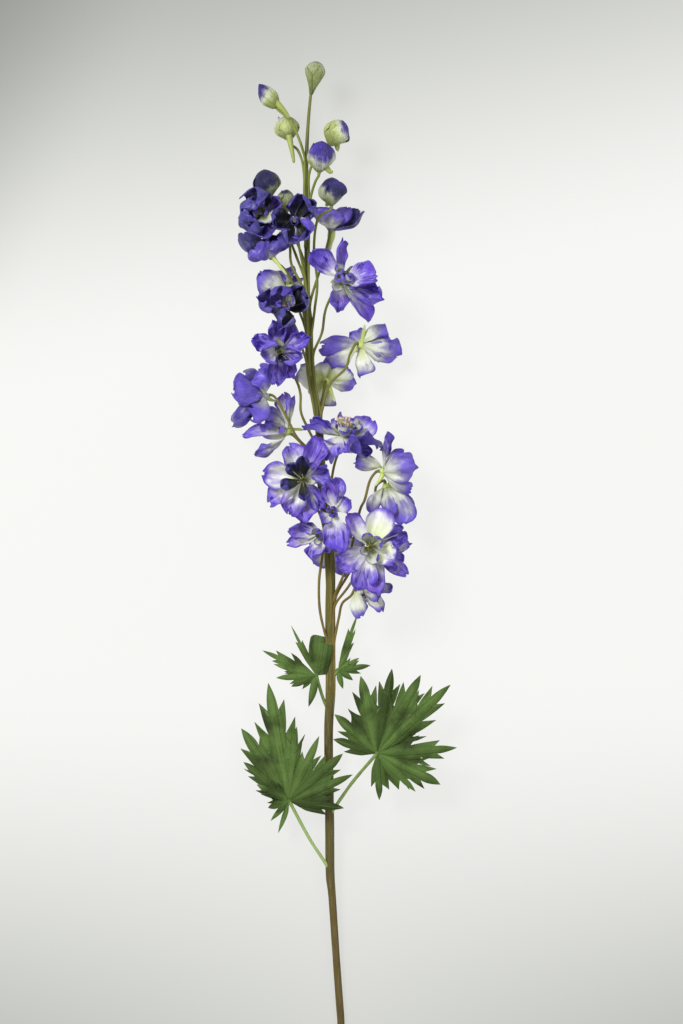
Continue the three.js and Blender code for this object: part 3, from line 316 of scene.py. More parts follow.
class BudForm(Enum):
    """How a bud's radius runs from its base to its tip, in shares of its length and of its largest radius."""

    ROUND = ((0, 0.2), (0.12, 0.5), (0.35, 0.93), (0.6, 1), (0.85, 0.66), (0.95, 0.36), (1, 0.05))
    PEAR = ((0, 0.17), (0.25, 0.42), (0.5, 0.79), (0.72, 1), (0.9, 0.7), (0.97, 0.38), (1, 0.05))
    SLIM = ((0, 0.2), (0.1, 0.6), (0.38, 1), (0.68, 0.82), (0.9, 0.36), (1, 0.04))


@dataclass(frozen=True)
class BudPlan:
    """One bud's measures.

    Args:
        base: where its stalk meets it.
        tip: its tip.
        radius: its largest radius.
        spur: its spur's tip from the base, or nothing.
        flush: how far along its violet starts.
        deep: how dark its violet is, from 0 to 1.
        lean: how much further down the violet comes on one side, as a share of its length.
        lean_at: where that side is, in degrees about the bud from the top to its right.
        form: how its radius runs.
        ribs: lines that stand out on it, each through stops: how far up, degrees about the bud.
    """

    base: Numbers
    tip: Numbers
    radius: float
    spur: Numbers | None
    flush: float
    deep: float
    lean: float = 0.0
    lean_at: float = 0.0
    form: BudForm = BudForm.ROUND
    ribs: tuple[Rows, ...] = ()


BUDS: dict[str, BudPlan] = {
    "1": BudPlan(
        (-24, 761.6, 36), (-19.2, 788, 37), 7.6, None, 0.93, 0.8, form=BudForm.PEAR,
        ribs=(
            ((0.02, 0), (0.3, -12), (0.5, -14), (0.6, -8)), ((0.58, -10), (0.68, 4), (0.8, 22), (0.88, 30)),
            ((0.56, -12), (0.64, -32), (0.76, -56), (0.88, -62)),
        ),
    ),
    "2": BudPlan(
        (-51.2, 750.4, 42), (-65.6, 769.2, 43), 6.8, (10, -9, 2), 0.58, 0.5, 0.14, -90, BudForm.SLIM,
    ),
    "3": BudPlan((-41.6, 725.6, 30), (-44.8, 745, 30), 9.6, (4, -19, 8), 0.95, 0.6, 0.2, -120),
    "4": BudPlan((-9, 720.8, 38), (1.6, 740.5, 39), 10.2, (7, -3, -4), 0.84, 0.35, 0.42, 80),
    "5": BudPlan((-17.6, 698.4, 47), (-15.2, 723.2, 48), 10.6, (11, 1, 1), 0.52, 0.45, 0.32, 12),
    "6": BudPlan((-8, 671.8, 45), (-7.2, 694.4, 46), 9.6, (-4, 3, -10), 0.36, 0.82, 0.22, 60),
    "7": BudPlan((-58.4, 678.4, 36), (-61.6, 701.6, 37), 10.2, (3, 0, -12), 0.3, 1.0, 0.3, -60),
    "8": BudPlan((-45.6, 667.2, 34), (-43.2, 685.6, 35), 7.4, (2, -2, -10), 0.85, 1.0, 0.1),
}


@dataclass(frozen=True)
class LobePlan:
    """One lobe of a leaf.

    Args:
        right: its tip from the leaf's foot, to the right.
        up: the same, towards the spike's tip.
        towards: the same, off the floor.
        width: its width.
        teeth: its large teeth a side.
        dim: how much painted shade darkens it, from 0 to 1.
        blunt: whether it ends square.
    """

    right: float
    up: float
    towards: float
    width: float
    teeth: int
    dim: float = 0.0
    blunt: bool = False

    @property
    def length(self) -> float:
        """How long its rib is in the plane."""
        return math.hypot(self.right, self.up)

    def ways(self) -> tuple[Array, Array]:
        """The ways along its rib and to the left of it, in the plane."""
        ahead = np.array([self.right, self.up]) / self.length
        return ahead, np.array([-ahead[1], ahead[0]])


@dataclass(frozen=True)
class FanPlan:
    """Lobes that share a web, anticlockwise, and how far out the web reaches as a share of their length."""

    web: float
    lobes: tuple[LobePlan, ...]

    @classmethod
    def of(cls, web: float, *lobes: Numbers) -> "FanPlan":
        """The fan of lobes with these measures."""
        return cls(web, tuple(LobePlan(*lobe) for lobe in lobes))


@dataclass(frozen=True)
class LeafPlan:
    """One leaf: where its stalk meets it, and its fans of lobes."""

    at: Numbers
    fans: tuple[FanPlan, ...]


# Each lobe: right, up, towards, width, teeth, the painted shade that darkens it, and whether it ends square.
LEAVES: dict[str, LeafPlan] = {
    "leaf_left": LeafPlan((-41.6, 194.4, 22), (
        FanPlan.of(0.7, (6, 60, 3, 18, 2, 0.3), (-17, 95, 2, 36, 3), (-39, 58, -4, 29, 2, 0.25),
            (-37, 31, -6, 20, 2, 0.8)),
        FanPlan.of(0.74, (44, -5, 9, 18, 1, 0.9), (51, 22, 12, 17, 1, 0.3), (43, 39, 14, 24, 2, 0.6),
            (24, 53, 11, 18, 1, 0.2)),
        FanPlan.of(0.5, (-26, 14, 10, 18, 2), (-17, -5, 5, 15, 1)),
        FanPlan.of(0.4, (-15, -16, -2, 8, 0), (-9, -26, -5, 7, 0)),
    )),
    "leaf_right": LeafPlan((28.8, 233.6, 33.6), (
        FanPlan.of(0.8, (59, 55, 4, 29, 3), (35, 63, 8, 25, 2, 0.25), (12, 68, 6, 23, 2, 1.0),
            (-13, 62, 0, 27, 2, 0.1), (-34, 31, -4, 19, 1, 0.3), (-35, 11, -2, 17, 0, 0.9)),
        FanPlan.of(0.5, (42, 26, -3, 8, 1)),
        FanPlan.of(0.8, (2, -38, -8, 15, 1, 0.5), (31, -31, -4, 12, 0, 0.2), (51, -25, 2, 26, 2),
            (64, 5, 8, 22, 2, 0.3)),
    )),
    "leaf_small_left": LeafPlan((-20, 296, 29), (
        FanPlan.of(0.3, (-32, -2, 1, 15, 1), (-20, -9, -2, 15, 1, 0.5), (-6, -25, 3, 11, 0)),
        FanPlan.of(0.45, (-43, 20, 3, 15, 2), (-34, 9, 2, 12, 1)),
        FanPlan.of(0.25, (5, 31, 3, 20, 0, 0.3, True), (-20, 40, 4, 7, 1)),
    )),
    "leaf_small_right": LeafPlan((-2.4, 300, 26), (
        FanPlan.of(0.45, (4, -15, -1, 8, 0), (12, -8, 0, 8, 0, 0.4), (26, 4, 2, 14, 1, 0.3),
            (17, 10, 4, 9, 1), (10, 18, 5, 8, 0)),
        FanPlan.of(0.4, (14, 33, 3, 8, 1), (16, 46, 2, 8, 1)),
    )),
}

RECEPTACLE_BACK = 3.0  # from a bloom's middle to where its stalk ends
FLOOR_CLEARANCE = 0.02
GOLDEN_ANGLE = 2.39996


# Mesh work


def vec(numbers: Numbers | Array) -> Array:
    """Numbers as an array to reckon with."""
    return np.array(numbers, dtype=float)


def length_of(vector: Array) -> float:
    """The vector's length."""
    return float(np.linalg.norm(vector))


def unit(vector: Array) -> Array:
    """The vector at length 1."""
    return vector / max(length_of(vector), 1e-9)


def square_to(vector: Array, way: Array) -> Array:
    """The part of a vector that is square to a way, at length 1."""
    return unit(vector - way * float(vector @ way) / max(float(way @ way), 1e-9))


def ease(value: Array | float, low: float, high: float) -> Array | float:
    """A smooth step from 0 at low to 1 at high."""
    share = np.clip((value - low) / (high - low), 0, 1)
    return share * share * (3 - 2 * share)


def along_bezier(start: Array, bend: Array, end: Array, t: float) -> tuple[Array, Array]:
    """A point a share of the way along a curve with one control point, and its tangent there."""
    point = start * (1 - t) ** 2 + 2 * bend * t * (1 - t) + end * t * t
    return point, 2 * (bend - start) * (1 - t) + 2 * (end - bend) * t


def flowing(points: Array, step: float) -> Array:
    """A smooth route through points, as even samples.

    Args:
        points: the points, each with any further numbers that run along with it.
        step: how far apart the samples are.

    Returns:
        The samples, one a row.
    """
    padded = np.vstack([2 * points[0] - points[1], points, 2 * points[-1] - points[-2]])
    samples = []
    for k in range(len(points) - 1):
        before, one, two, after = padded[k : k + 4]
        count = max(2, int(np.linalg.norm((two - one)[:3]) / step))
        for t in np.arange(count) / count:
            samples.append(
                0.5 * (2 * one + (two - before) * t + (2 * before - 5 * one + 4 * two - after) * t**2
                       + (3 * one - before - 3 * two + after) * t**3)
            )
    return np.array([*samples, points[-1]])


def grid_faces(rows: int, columns: int, closed: bool = False) -> Faces:
    """The quads of a grid of points, row by row.

    Args:
        rows: how many rows of points.
        columns: how many points a row.
        closed: whether each row joins up with its own start.

    Returns:
        The quads.
    """
    across = columns if closed else columns - 1
    return [
        (i * columns + j, i * columns + (j + 1) % columns, (i + 1) * columns + (j + 1) % columns,
         (i + 1) * columns + j)
        for i in range(rows - 1)
        for j in range(across)
    ]


def thickened(points: Array, faces: Faces, thickness: float) -> tuple[Array, Faces]:
    """Gives a sheet its thickness: two alike faces and a rim.

    Args:
        points: the sheet's points.
        faces: its faces, which look out of its front.
        thickness: how thick it becomes.

    Returns:
        The points, the front's first, and the faces.
    """
    normals = np.zeros_like(points)
    loose: dict[tuple[int, int], bool] = {}
    for face in faces:
        corners = points[list(face)]
        square = np.cross(corners[2] - corners[0], corners[-1] - corners[1])
        for corner in face:
            normals[corner] += square
        for start, end in zip(face, face[1:] + face[:1]):
            if not loose.pop((end, start), False):
                loose[start, end] = True
    normals /= np.maximum(np.linalg.norm(normals, axis=1, keepdims=True), 1e-9)
    under = len(points)
    shell = list(faces) + [tuple(under + corner for corner in reversed(face)) for face in faces]
    shell += [(under + start, under + end, end, start) for start, end in loose]
    return np.vstack([points + normals * thickness / 2, points - normals * thickness / 2]), shell


def capped(rings: list[Array], foot: Array, head: Array) -> tuple[Array, Faces]:
    """A closed body from rings of points, with a middle point at each end.

    Args:
        rings: the rings from foot to head.
        foot: the first end's middle.
        head: the last end's.

    Returns:
        The points, the two middles last, and the faces.
    """
    sides, points = len(rings[0]), np.vstack([*rings, foot, head])
    below, above, last = len(points) - 2, len(points) - 1, (len(rings) - 1) * sides
    faces = grid_faces(len(rings), sides, closed=True)
    faces += [((j + 1) % sides, j, below) for j in range(sides)]
    faces += [(last + j, last + (j + 1) % sides, above) for j in range(sides)]
    return points, faces


def tube_rings(route: Array, radii: Array, sides: int) -> tuple[Array, Faces, Array]:
    """A closed tube along a route.

    Args:
        route: its middle line.
        radii: its radius at each point.
        sides: how many sides it has.

    Returns:
        The points, the faces, and how far along each point is.
    """
    tangents = np.gradient(route, axis=0)
    reference = TOWARDS if abs(unit(tangents[0]) @ TOWARDS) < 0.9 else UP
    rings, share = [], []
    for k, (middle, tangent, radius) in enumerate(zip(route, tangents, radii)):
        across = square_to(reference, tangent)
        above = np.cross(unit(tangent), across)
        turn = np.arange(sides) * 2 * math.pi / sides
        rings.append(middle + radius * (np.cos(turn)[:, None] * across + np.sin(turn)[:, None] * above))
        share += [k / (len(route) - 1)] * sides
        reference = across
    return *capped(rings, route[0], route[-1]), np.array([*share, 0.0, 1.0])


@dataclass
class Gathering:
    """Closed bodies gathered into one mesh, with the values that their finish reads.

    Args:
        keeps: the names of those values.
    """

    keeps: tuple[str, ...]
    points: list[Array] = field(default_factory=list)
    faces: Faces = field(default_factory=list)
    values: dict[str, list[Array]] = field(default_factory=dict)
    count: int = 0

    def add(self, points: Array, faces: Faces, **values: Array | float) -> None:
        """Takes in one closed body.

        Args:
            points: its points in millimetres.
            faces: its faces.
            **values: what its finish reads, as a number or one number a point.
        """
        self.faces += [tuple(self.count + corner for corner in face) for face in faces]
        self.points.append(points)
        self.count += len(points)
        for name in self.keeps:
            value = np.broadcast_to(np.asarray(values.get(name, 0.0), dtype=float), (len(points),))
            self.values.setdefault(name, []).append(value)

    def add_sheet(self, points: Array, faces: Faces, thickness: float, **values: Array | float) -> None:
        """Takes in a sheet with its thickness and the value `front`.

        Args:
            points: its points in millimetres.
            faces: its faces, which look out of its front.
            thickness: how thick it becomes.
            **values: what its finish reads, as in `add`.
        """
        solid, shell = thickened(points, faces, thickness)
        twice = {
            name: np.tile(np.broadcast_to(np.asarray(value, dtype=float), (len(points),)), 2)
            for name, value in values.items()
        }
        front = np.repeat([1.0, 0.0], len(points))
        self.add(solid, shell, front=front, **twice)

    def as_mesh(self, name: str) -> Mesh:
        """The gathered bodies as a mesh in metres.

        Args:
            name: its name.

        Returns:
            The mesh.
        """
        mesh = bpy.data.meshes.new(name)
        points = np.vstack(self.points)
        points[:, 2] = np.maximum(points[:, 2], FLOOR_CLEARANCE)
        mesh.from_pydata((points * MM).tolist(), [], self.faces)
        for key, parts in self.values.items():
            keep(mesh, key, np.concatenate(parts))
        mesh.shade_smooth()
        return mesh


def in_scene(name: str, data: ID) -> Object:
    """Puts an object in the scene.

    Args:
        name: its name.
        data: its mesh, camera or light.

    Returns:
        The object.
    """
    made = bpy.data.objects.new(name, data)
    bpy.context.scene.collection.objects.link(made)
    return made


def keep(mesh: Mesh, name: str, values: Array) -> None:
    """Keeps numbers or vectors at a mesh's points.

    Args:
        mesh: the mesh.
        name: the name to keep them under.
        values: one number or one vector a point.
    """
    kind, key = ("FLOAT", "value") if values.ndim == 1 else ("FLOAT_VECTOR", "vector")
    layer = mesh.attributes.new(name, kind, "POINT")
    layer.data.foreach_set(key, values.astype(np.float32).ravel())


def settle(mesh: Mesh, name: str, material: Material, node: str) -> None:
    """Puts a finished mesh in the scene as the piece that stands for a node.

    Args:
        mesh: the piece's mesh, in its place.
        name: the piece's name.
        material: its finish.
        node: the node that it replaces.
    """
    piece = in_scene(name, mesh)
    mesh.materials.clear()
    mesh.materials.append(material)
    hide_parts(node)
    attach(piece, "root")
    log.info("%s: %d faces", name, len(mesh.polygons))


# Node work


def tint(hexadecimal: str) -> Numbers:
    """A colour such as "#5a3fd2" as the linear red, green, blue and opacity that a shader takes."""
    shares = [int(hexadecimal[k : k + 2], 16) / 255 for k in (1, 3, 5)]
    return (*(part / 12.92 if part <= 0.04045 else ((part + 0.055) / 1.055) ** 2.4 for part in shares), 1.0)


def add_node(tree: NodeTree, kind: str, settings: Options, inputs: Options) -> Node:
    """Adds a node to a tree.

    Args:
        tree: the tree.
        kind: the node's type.
        settings: its settings; `stops` are a colour ramp's places and colours.
        inputs: what its sockets take, by name or number: a number, a colour, or a socket to link.

    Returns:
        The node.
    """
    node = tree.nodes.new(kind)
    for name, value in (settings or {}).items():
        if name == "stops":
            elements = node.color_ramp.elements
            while len(elements) < len(value):
                elements.new(1.0)
            for element, (place, colour) in zip(elements, value):
                element.position, element.color = place, colour
        else:
            setattr(node, name, value)
    for name, value in (inputs or {}).items():
        socket = value.socket if isinstance(value, Term) else value
        if isinstance(socket, NodeSocket):
            tree.links.new(socket, node.inputs[name])
        else:
            node.inputs[name].default_value = socket
    return node


class Bench:
    """Where a node tree is put together."""

    tree: NodeTree

    def node(self, kind: str, settings: Options = None, inputs: Options = None) -> Node:
        """Adds a node to the tree; see `add_node`."""
        return add_node(self.tree, kind, settings, inputs)

    def out(
        self, kind: str, settings: Options = None, inputs: Options = None, which: str | int = 0
    ) -> NodeSocket:
        """Adds a node to the tree, for what comes out of its socket `which`."""
        return self.node(kind, settings, inputs).outputs[which]


@dataclass(frozen=True)
class Term(Bench):
    """A number that varies over a surface, as the socket that carries it, with the maths on it."""

    tree: NodeTree
    socket: NodeSocket

    def with_maths(self, operation: str, *others: "Term | float", first: bool = True) -> "Term":
        """The result of a Math node.

        Args:
            operation: the node's operation.
            *others: its other inputs.
            first: whether this term is its first input.

        Returns:
            The result.
        """
        values = [self, *others] if first else [*others, self]
        return Term(self.tree, self.out("ShaderNodeMath", {"operation": operation}, dict(enumerate(values))))

    def __add__(self, other: "Term | float") -> "Term":
        """The sum."""
        return self.with_maths("ADD", other)

    __radd__ = __add__

    def __sub__(self, other: "Term | float") -> "Term":
        """The difference."""
        return self.with_maths("SUBTRACT", other)

    def __rsub__(self, other: float) -> "Term":
        """The difference from a number."""
        return self.with_maths("SUBTRACT", other, first=False)

    def __mul__(self, other: "Term | float") -> "Term":
        """The product."""
        return self.with_maths("MULTIPLY", other)

    __rmul__ = __mul__

    def __truediv__(self, other: "Term | float") -> "Term":
        """The quotient."""
        return self.with_maths("DIVIDE", other)

    def __abs__(self) -> "Term":
        """The size without its sign."""
        return self.with_maths("ABSOLUTE")

    def sine(self) -> "Term":
        """The sine of it in radians."""
        return self.with_maths("SINE")

    def or_more(self, other: "Term | float") -> "Term":
        """The larger of the two."""
        return self.with_maths("MAXIMUM", other)

    def eased(self, low: float, high: float) -> "Term":
        """A smooth step over the number, from 0 at low to 1 at high."""
        inputs = {"Value": self, "From Min": low, "From Max": high}
        return Term(self.tree, self.out("ShaderNodeMapRange", {"interpolation_type": "SMOOTHSTEP"}, inputs))


class Dye(Bench):
    """The node tree of one material, and what a finish needs to build it."""

    def __init__(self, name: str) -> None:
        """Starts an empty material.

        Args:
            name: the material's name.
        """
        self.material = bpy.data.materials.new(name)
        self.material.use_nodes = True
        self.tree = self.material.node_tree
        self.tree.nodes.clear()
        self.place = self.out("ShaderNodeTexCoord", which="Object")

    def values(self, *names: str) -> list[Term]:
        """The values that a mesh keeps at its points under these names."""
        made = (self.out("ShaderNodeAttribute", {"attribute_name": name}, which="Fac") for name in names)
        return [Term(self.tree, socket) for socket in made]

    def places(self) -> list[Term]:
        """The place on the object along each of its three axes."""
        parts = self.node("ShaderNodeSeparateXYZ", None, {0: self.place})
        return [Term(self.tree, part) for part in parts.outputs]

    def spot(self, *numbers: Term | float) -> NodeSocket:
        """The vector of three numbers."""
        return self.out("ShaderNodeCombineXYZ", None, dict(enumerate(numbers)))

    def mottle(self, where: NodeSocket, scale: float, detail: float) -> Term:
        """A soft noise around 0.5 that reads a vector, with its scale and its number of finer layers."""
        inputs = {"Vector": where, "Scale": scale, "Detail": detail}
        return Term(self.tree, self.out("ShaderNodeTexNoise", None, inputs))

    def clouds(self, fineness: float, along: float | None = None, detail: float = 3.0) -> Term:
        """A soft noise around 0.5 over the object.

        Args:
            fineness: how fine it is.
            along: how fine it is along the spike, where that differs.
            detail: how many finer layers it has.

        Returns:
            The noise.
        """
        scales = (fineness, fineness if along is None else along, fineness)
        place = self.out("ShaderNodeVectorMath", {"operation": "MULTIPLY"}, {0: self.place, 1: scales})
        return self.mottle(place, 1.0, detail)

    def blend(self, share: Term | float, one: str | NodeSocket, other: str | NodeSocket) -> NodeSocket:
        """A colour that runs from one to the other with a share."""
        colours = [tint(colour) if isinstance(colour, str) else colour for colour in (one, other)]
        return self.out("ShaderNodeMix", {"data_type": "RGBA"}, {0: share, 6: colours[0], 7: colours[1]}, 2)

    def ramp(self, share: Term, *stops: tuple[float, str]) -> NodeSocket:
        """A colour that runs with a share through stops, which are places and colours."""
        settings = {"stops": [(place, tint(colour)) for place, colour in stops]}
        return self.out("ShaderNodeValToRGB", settings, {"Fac": share})

    def relief(self, height: Term, depth: float) -> NodeSocket:
        """The normal of a fine relief, from heights of 0 to 1 and their depth in metres."""
        return self.out("ShaderNodeBump", None, {"Height": height, "Distance": depth})

    def finished(
        self, colour: NodeSocket, roughness: Term | float, normal: NodeSocket, **constants: object
    ) -> Material:
        """Ends the material in its shader.

        Args:
            colour: its colour.
            roughness: its roughness.
            normal: its normal.
            **constants: the shader's other sockets, with _ for a space.

        Returns:
            The material.
        """
        inputs = {"Base Color": colour, "Roughness": roughness, "Normal": normal}
        inputs |= {name.replace("_", " "): value for name, value in constants.items()}
        shader = self.out("ShaderNodeBsdfPrincipled", None, inputs)
        self.node("ShaderNodeOutputMaterial", None, {"Surface": shader})
        return self.material


class Jig(Bench):
    """A Geometry Nodes tree with named inputs, and its use on a mesh."""

    def __init__(self, name: str, **inputs: float | int) -> None:
        """Starts a tree.

        Args:
            name: the tree's name.
            **inputs: its named inputs and their usual values, with _ for a space.
        """
        self.tree = bpy.data.node_groups.new(name, "GeometryNodeTree")
        face = self.tree.interface
        face.new_socket("Geometry", in_out="INPUT", socket_type="NodeSocketGeometry")
        for key, value in inputs.items():
            kind = "NodeSocketInt" if isinstance(value, int) else "NodeSocketFloat"
            face.new_socket(key.replace("_", " "), in_out="INPUT", socket_type=kind).default_value = value
        face.new_socket("Geometry", in_out="OUTPUT", socket_type="NodeSocketGeometry")
        self.entry = self.node("NodeGroupInput")

    def named(self, name: str, kind: str = "FLOAT") -> NodeSocket:
        """The value that the incoming mesh keeps at its points under a name."""
        return self.out("GeometryNodeInputNamedAttribute", {"data_type": kind}, {"Name": name})

    def close(self, geometry: NodeSocket, material: Material) -> "Jig":
        """Ends the tree with its geometry made real, smooth and in its material.

        Args:
            geometry: what the tree has made.
            material: its finish.

        Returns:
            This jig.
        """
        real = self.out("GeometryNodeRealizeInstances", None, {"Geometry": geometry})
        smooth = self.out("GeometryNodeSetShadeSmooth", None, {"Geometry": real})
        painted = self.out("GeometryNodeSetMaterial", None, {"Geometry": smooth, "Material": material})
        self.node("NodeGroupOutput", None, {"Geometry": painted})
        return self

    def made_from(self, mesh: Mesh, name: str, **inputs: float | int) -> Mesh:
        """Runs the tree on a mesh.

        Args:
            mesh: what goes in.
            name: the name of the mesh that comes out.
            **inputs: named inputs that differ from their usual values.

        Returns:
            That mesh.
        """
        carrier = in_scene(name + "_carrier", mesh)
        modifier = carrier.modifiers.new(self.tree.name, "NODES")
        modifier.node_group = self.tree
        for item in self.tree.interface.items_tree:
            key = item.name.replace(" ", "_")
            if item.item_type == "SOCKET" and item.in_out == "INPUT" and key in inputs:
                modifier[item.identifier] = inputs[key]
        graph = bpy.context.evaluated_depsgraph_get()
        made = bpy.data.meshes.new_from_object(carrier.evaluated_get(graph), depsgraph=graph)
        made.name = name
        carrier.modifiers.remove(modifier)
        bpy.data.objects.remove(carrier)
        return made


# Finishes


@dataclass(frozen=True)
class PetalFinish:
    """Dyed satin petals: a pale throat, violet towards the margin, fine streaks, and a greenish calyx, with
    painted shadow deep in the cups of dark blooms and painted highlights on dark petals, backs and the crests
    of the fine relief.

    A mesh keeps `along` and `across` the petal, `front` or back, `tone`, `seed`, `core` and `calyx` at its
    points.
    """

    throat: str = "#d9dfb9"
    white: str = "#e0e1de"
    blush: str = "#a69bcb"
    violet: str = "#5236bb"
    # The next two colours serve both as the petals' own lighter violets and as painted highlights.
    bright_and_highlight: str = "#8670d6"
    lilac_and_highlight: str = "#a79fd8"
    deep: str = "#33258c"
    rose: str = "#8d5fae"
    navy: str = "#1e1f40"
    # The next colour is the painted highlight on navy petals.
    highlit_navy: str = "#45427e"
    # The next colour is the painted shadow deep in a dark bloom's cup.
    shade: str = "#0f120e"
    green_back: str = "#b6c270"
    pale_back: str = "#cfd2c4"
    grey_back: str = "#8f8ca2"
    back: str = "#5643b6"
    olive: str = "#858c62"
    calyx: str = "#b2c25c"

    def dress(self) -> Material:
        """Builds the material.

        Returns:
            The material.
        """
        dye = Dye("dyed_petal")
        along, across, tone, seed = dye.values("along", "across", "tone", "seed")
        front, calyx, core = dye.values("front", "calyx", "core")
        side = abs(across)
        fanned = dye.spot(across * 3.8 / (0.35 + along), along * 1.3, seed * 43.0)
        streaks = dye.mottle(fanned, 2.4, 5.0)
        fibres = dye.mottle(dye.spot(across * 18.0, along * 2.4, seed * 17.0), 2.0, 4.0)
        clouds = dye.clouds(95.0)
        rim = along.eased(0.78, 1.0).or_more(side.eased(0.6, 1.0) * along.eased(0.15, 0.6))
        grain = (streaks - 0.5) * 0.42 + (clouds - 0.5) * 0.9
        dark = tone.eased(0.68, 0.95)

        wash = along + rim * 0.35 + grain + tone * 1.25 - 0.56
        opened = dye.blend(wash.eased(-0.05, 0.28), self.throat, self.white)
        blushed = dye.blend(wash.eased(0.22, 0.52), opened, self.blush)
        mild = dye.blend((clouds * 1.1 + fibres * 0.5).eased(0.6, 0.95), self.violet, self.bright_and_highlight)
        # Partly the petals' own pale violet patches, partly a painted highlight on the crests of the fine
        # relief.
        lively = dye.blend((fibres * 0.7 + clouds * 0.6).eased(0.68, 0.95) * 0.45, mild, self.lilac_and_highlight)
        heavy = dye.blend((streaks + clouds + tone * 0.3).eased(1.12, 1.36), lively, self.deep)
        rosy = dye.blend((fibres + seed * 0.5).eased(0.8, 1.15) * 0.42, heavy, self.rose)
        coloured = dye.blend(wash.eased(0.38, 0.8), blushed, rosy)
        edged = dye.blend(rim.eased(0.5, 1.0) * 0.4, coloured, self.deep)

        # Painted highlight: lighter towards the tips and in patches, on dark petals and on backs.
        lit = (clouds + fibres * 0.5 + along * 0.35).eased(0.85, 1.25)
        dusky = dye.blend(lit.eased(0.0, 0.7), self.navy, self.highlit_navy)
        # The brightest patches on dark petals are painted highlights.
        night = dye.blend((fibres + clouds).eased(1.08, 1.35) * 0.35, dusky, self.bright_and_highlight)
        # Painted shadow: near black deep in a dark bloom's cup, fading out towards the tips.
        hollow = dye.blend((along + grain * 0.5).eased(0.25, 0.72), self.shade, night)
        fronted = dye.blend(dark, edged, hollow)

        # The heart's roots run from olive to the painted shadow as the heart darkens.
        heart_root = dye.blend(tone.eased(0.45, 1.0), self.olive, self.shade)
        heart_tip = dye.blend(tone.eased(0.15, 0.7), self.pale_back, night)
        hearted = dye.blend((along + grain * 0.5).eased(0.15, 0.6), heart_root, heart_tip)
        heart = dye.blend(rim.eased(0.4, 1.0) * 0.6, hearted, self.deep)
        inside = dye.blend(core, fronted, heart)

        back_wash = along + rim * 0.3 + grain + tone * 1.0 - 0.48
        rooting = (along * 0.8 + tone * 0.9 + grain * 0.4).eased(0.1, 0.6)
        rooted = dye.blend(rooting, self.green_back, self.pale_back)
        greyed = dye.blend(back_wash.eased(0.14, 0.55), rooted, self.grey_back)
        # Painted highlight on the backs, where the highlight mask runs high.
        tinted = dye.blend(lit * 0.5, self.back, self.bright_and_highlight)
        backed = dye.blend(back_wash.eased(0.35, 0.85), greyed, tinted)
        darkened = dye.blend(dark * along.eased(0.1, 0.5), backed, night)
        outside = dye.blend(rim.eased(0.5, 1.0) * 0.45, darkened, self.deep)

        petal = dye.blend(front, outside, inside)
        horn = dye.blend(along.eased(0.5, 1.0) * 0.5 + clouds * 0.2, self.calyx, self.pale_back)
        whole = dye.blend(calyx, petal, horn)
        roughness = 0.58 - streaks * 0.3
        normal = dye.relief(streaks * 0.6 + fibres * 0.4, 0.0011)
        return dye.finished(
            whole, roughness, normal, Specular_IOR_Level=0.32, Subsurface_Weight=0.1,
            Subsurface_Radius=(1.0, 0.8, 1.2), Subsurface_Scale=0.002, Coat_Weight=0.18, Coat_Roughness=0.22,
        )


@dataclass(frozen=True)
class BudFinish:
    """A bud's folded petals, yellow-green at the base and violet where the colour has come, with dark seams
    at their folds and painted shade along the tip.

    A mesh keeps `along`, `across` each folded petal, `wash`, how far the violet has come, `deep` and
    `calyx` at its points.
    """

    base: str = "#8b9650"
    pale: str = "#b3bc7c"
    white: str = "#cdd0c4"
    violet: str = "#4b3aa6"
    navy: str = "#201e48"
    # The colour of the dark seams, of the painted shade along the tip, and of the deepest buds' green.
    seam_and_tip_shade: str = "#434e24"
    calyx: str = "#8e9a4f"

    def dress(self) -> Material:
        """Builds the material.

        Returns:
            The material.
        """
        dye = Dye("bud_petal")
        along, across, wash, deep = dye.values("along", "across", "wash", "deep")
        calyx, seed = dye.values("calyx", "seed")
        streaks = dye.mottle(dye.spot(across * 5.0, along * 1.4, seed * 31.0), 2.4, 4.0)
        clouds = dye.clouds(120.0)
        grain = (streaks - 0.5) * 0.4 + (clouds - 0.5) * 0.7
        green = dye.blend((along + grain).eased(0.05, 0.6), self.base, self.pale)
        muted = dye.blend(deep.eased(0.45, 0.95) * 0.55, green, self.seam_and_tip_shade)
        come = wash + grain
        bleached = dye.blend(come.eased(-0.3, 0.0) * (1.0 - deep * 0.75), muted, self.white)
        dark = dye.blend((deep + (clouds - 0.5) * 1.2).eased(0.0, 1.0), self.violet, self.navy)
        flushed = dye.blend(come.eased(-0.06, 0.26), bleached, dark)
        # The folds' edges are dark seams; the darkening along the tip is painted shade.
        seam_and_tip_shade = abs(across).eased(0.75, 1.0).or_more(along.eased(0.9, 1.02) * 0.8)
        line = dye.blend(come.eased(-0.2, 0.1), self.seam_and_tip_shade, self.navy)
        seamed = dye.blend(seam_and_tip_shade * (0.3 + deep * 0.45), flushed, line)
        whole = dye.blend(calyx, seamed, self.calyx)
        return dye.finished(
            whole, 0.56 - streaks * 0.2, dye.relief(streaks, 0.0009), Specular_IOR_Level=0.35,
            Subsurface_Weight=0.1, Subsurface_Radius=(1.0, 1.0, 1.0), Subsurface_Scale=0.002,
        )


@dataclass(frozen=True)
class StamenFinish:
    """The filaments of a bloom's tuft, and their anthers, which a mesh marks with `anther`."""

    name: str
    filament: str
    tip: str
    speck: str = "#8d8f55"

    def dress(self) -> Material:
        """Builds the material.

        Returns:
            The material.
        """
        dye = Dye(self.name)
        speckle = dye.clouds(900.0, detail=2.0)
        (anther,) = dye.values("anther")
        body = dye.blend(anther.eased(0.3, 0.7), self.filament, self.tip)
        colour = dye.blend((speckle - 0.5).eased(0.0, 0.3) * 0.4, body, self.speck)
        return dye.finished(colour, 0.6 + speckle * 0.2, dye.relief(speckle, 0.0003), Specular_IOR_Level=0.15)


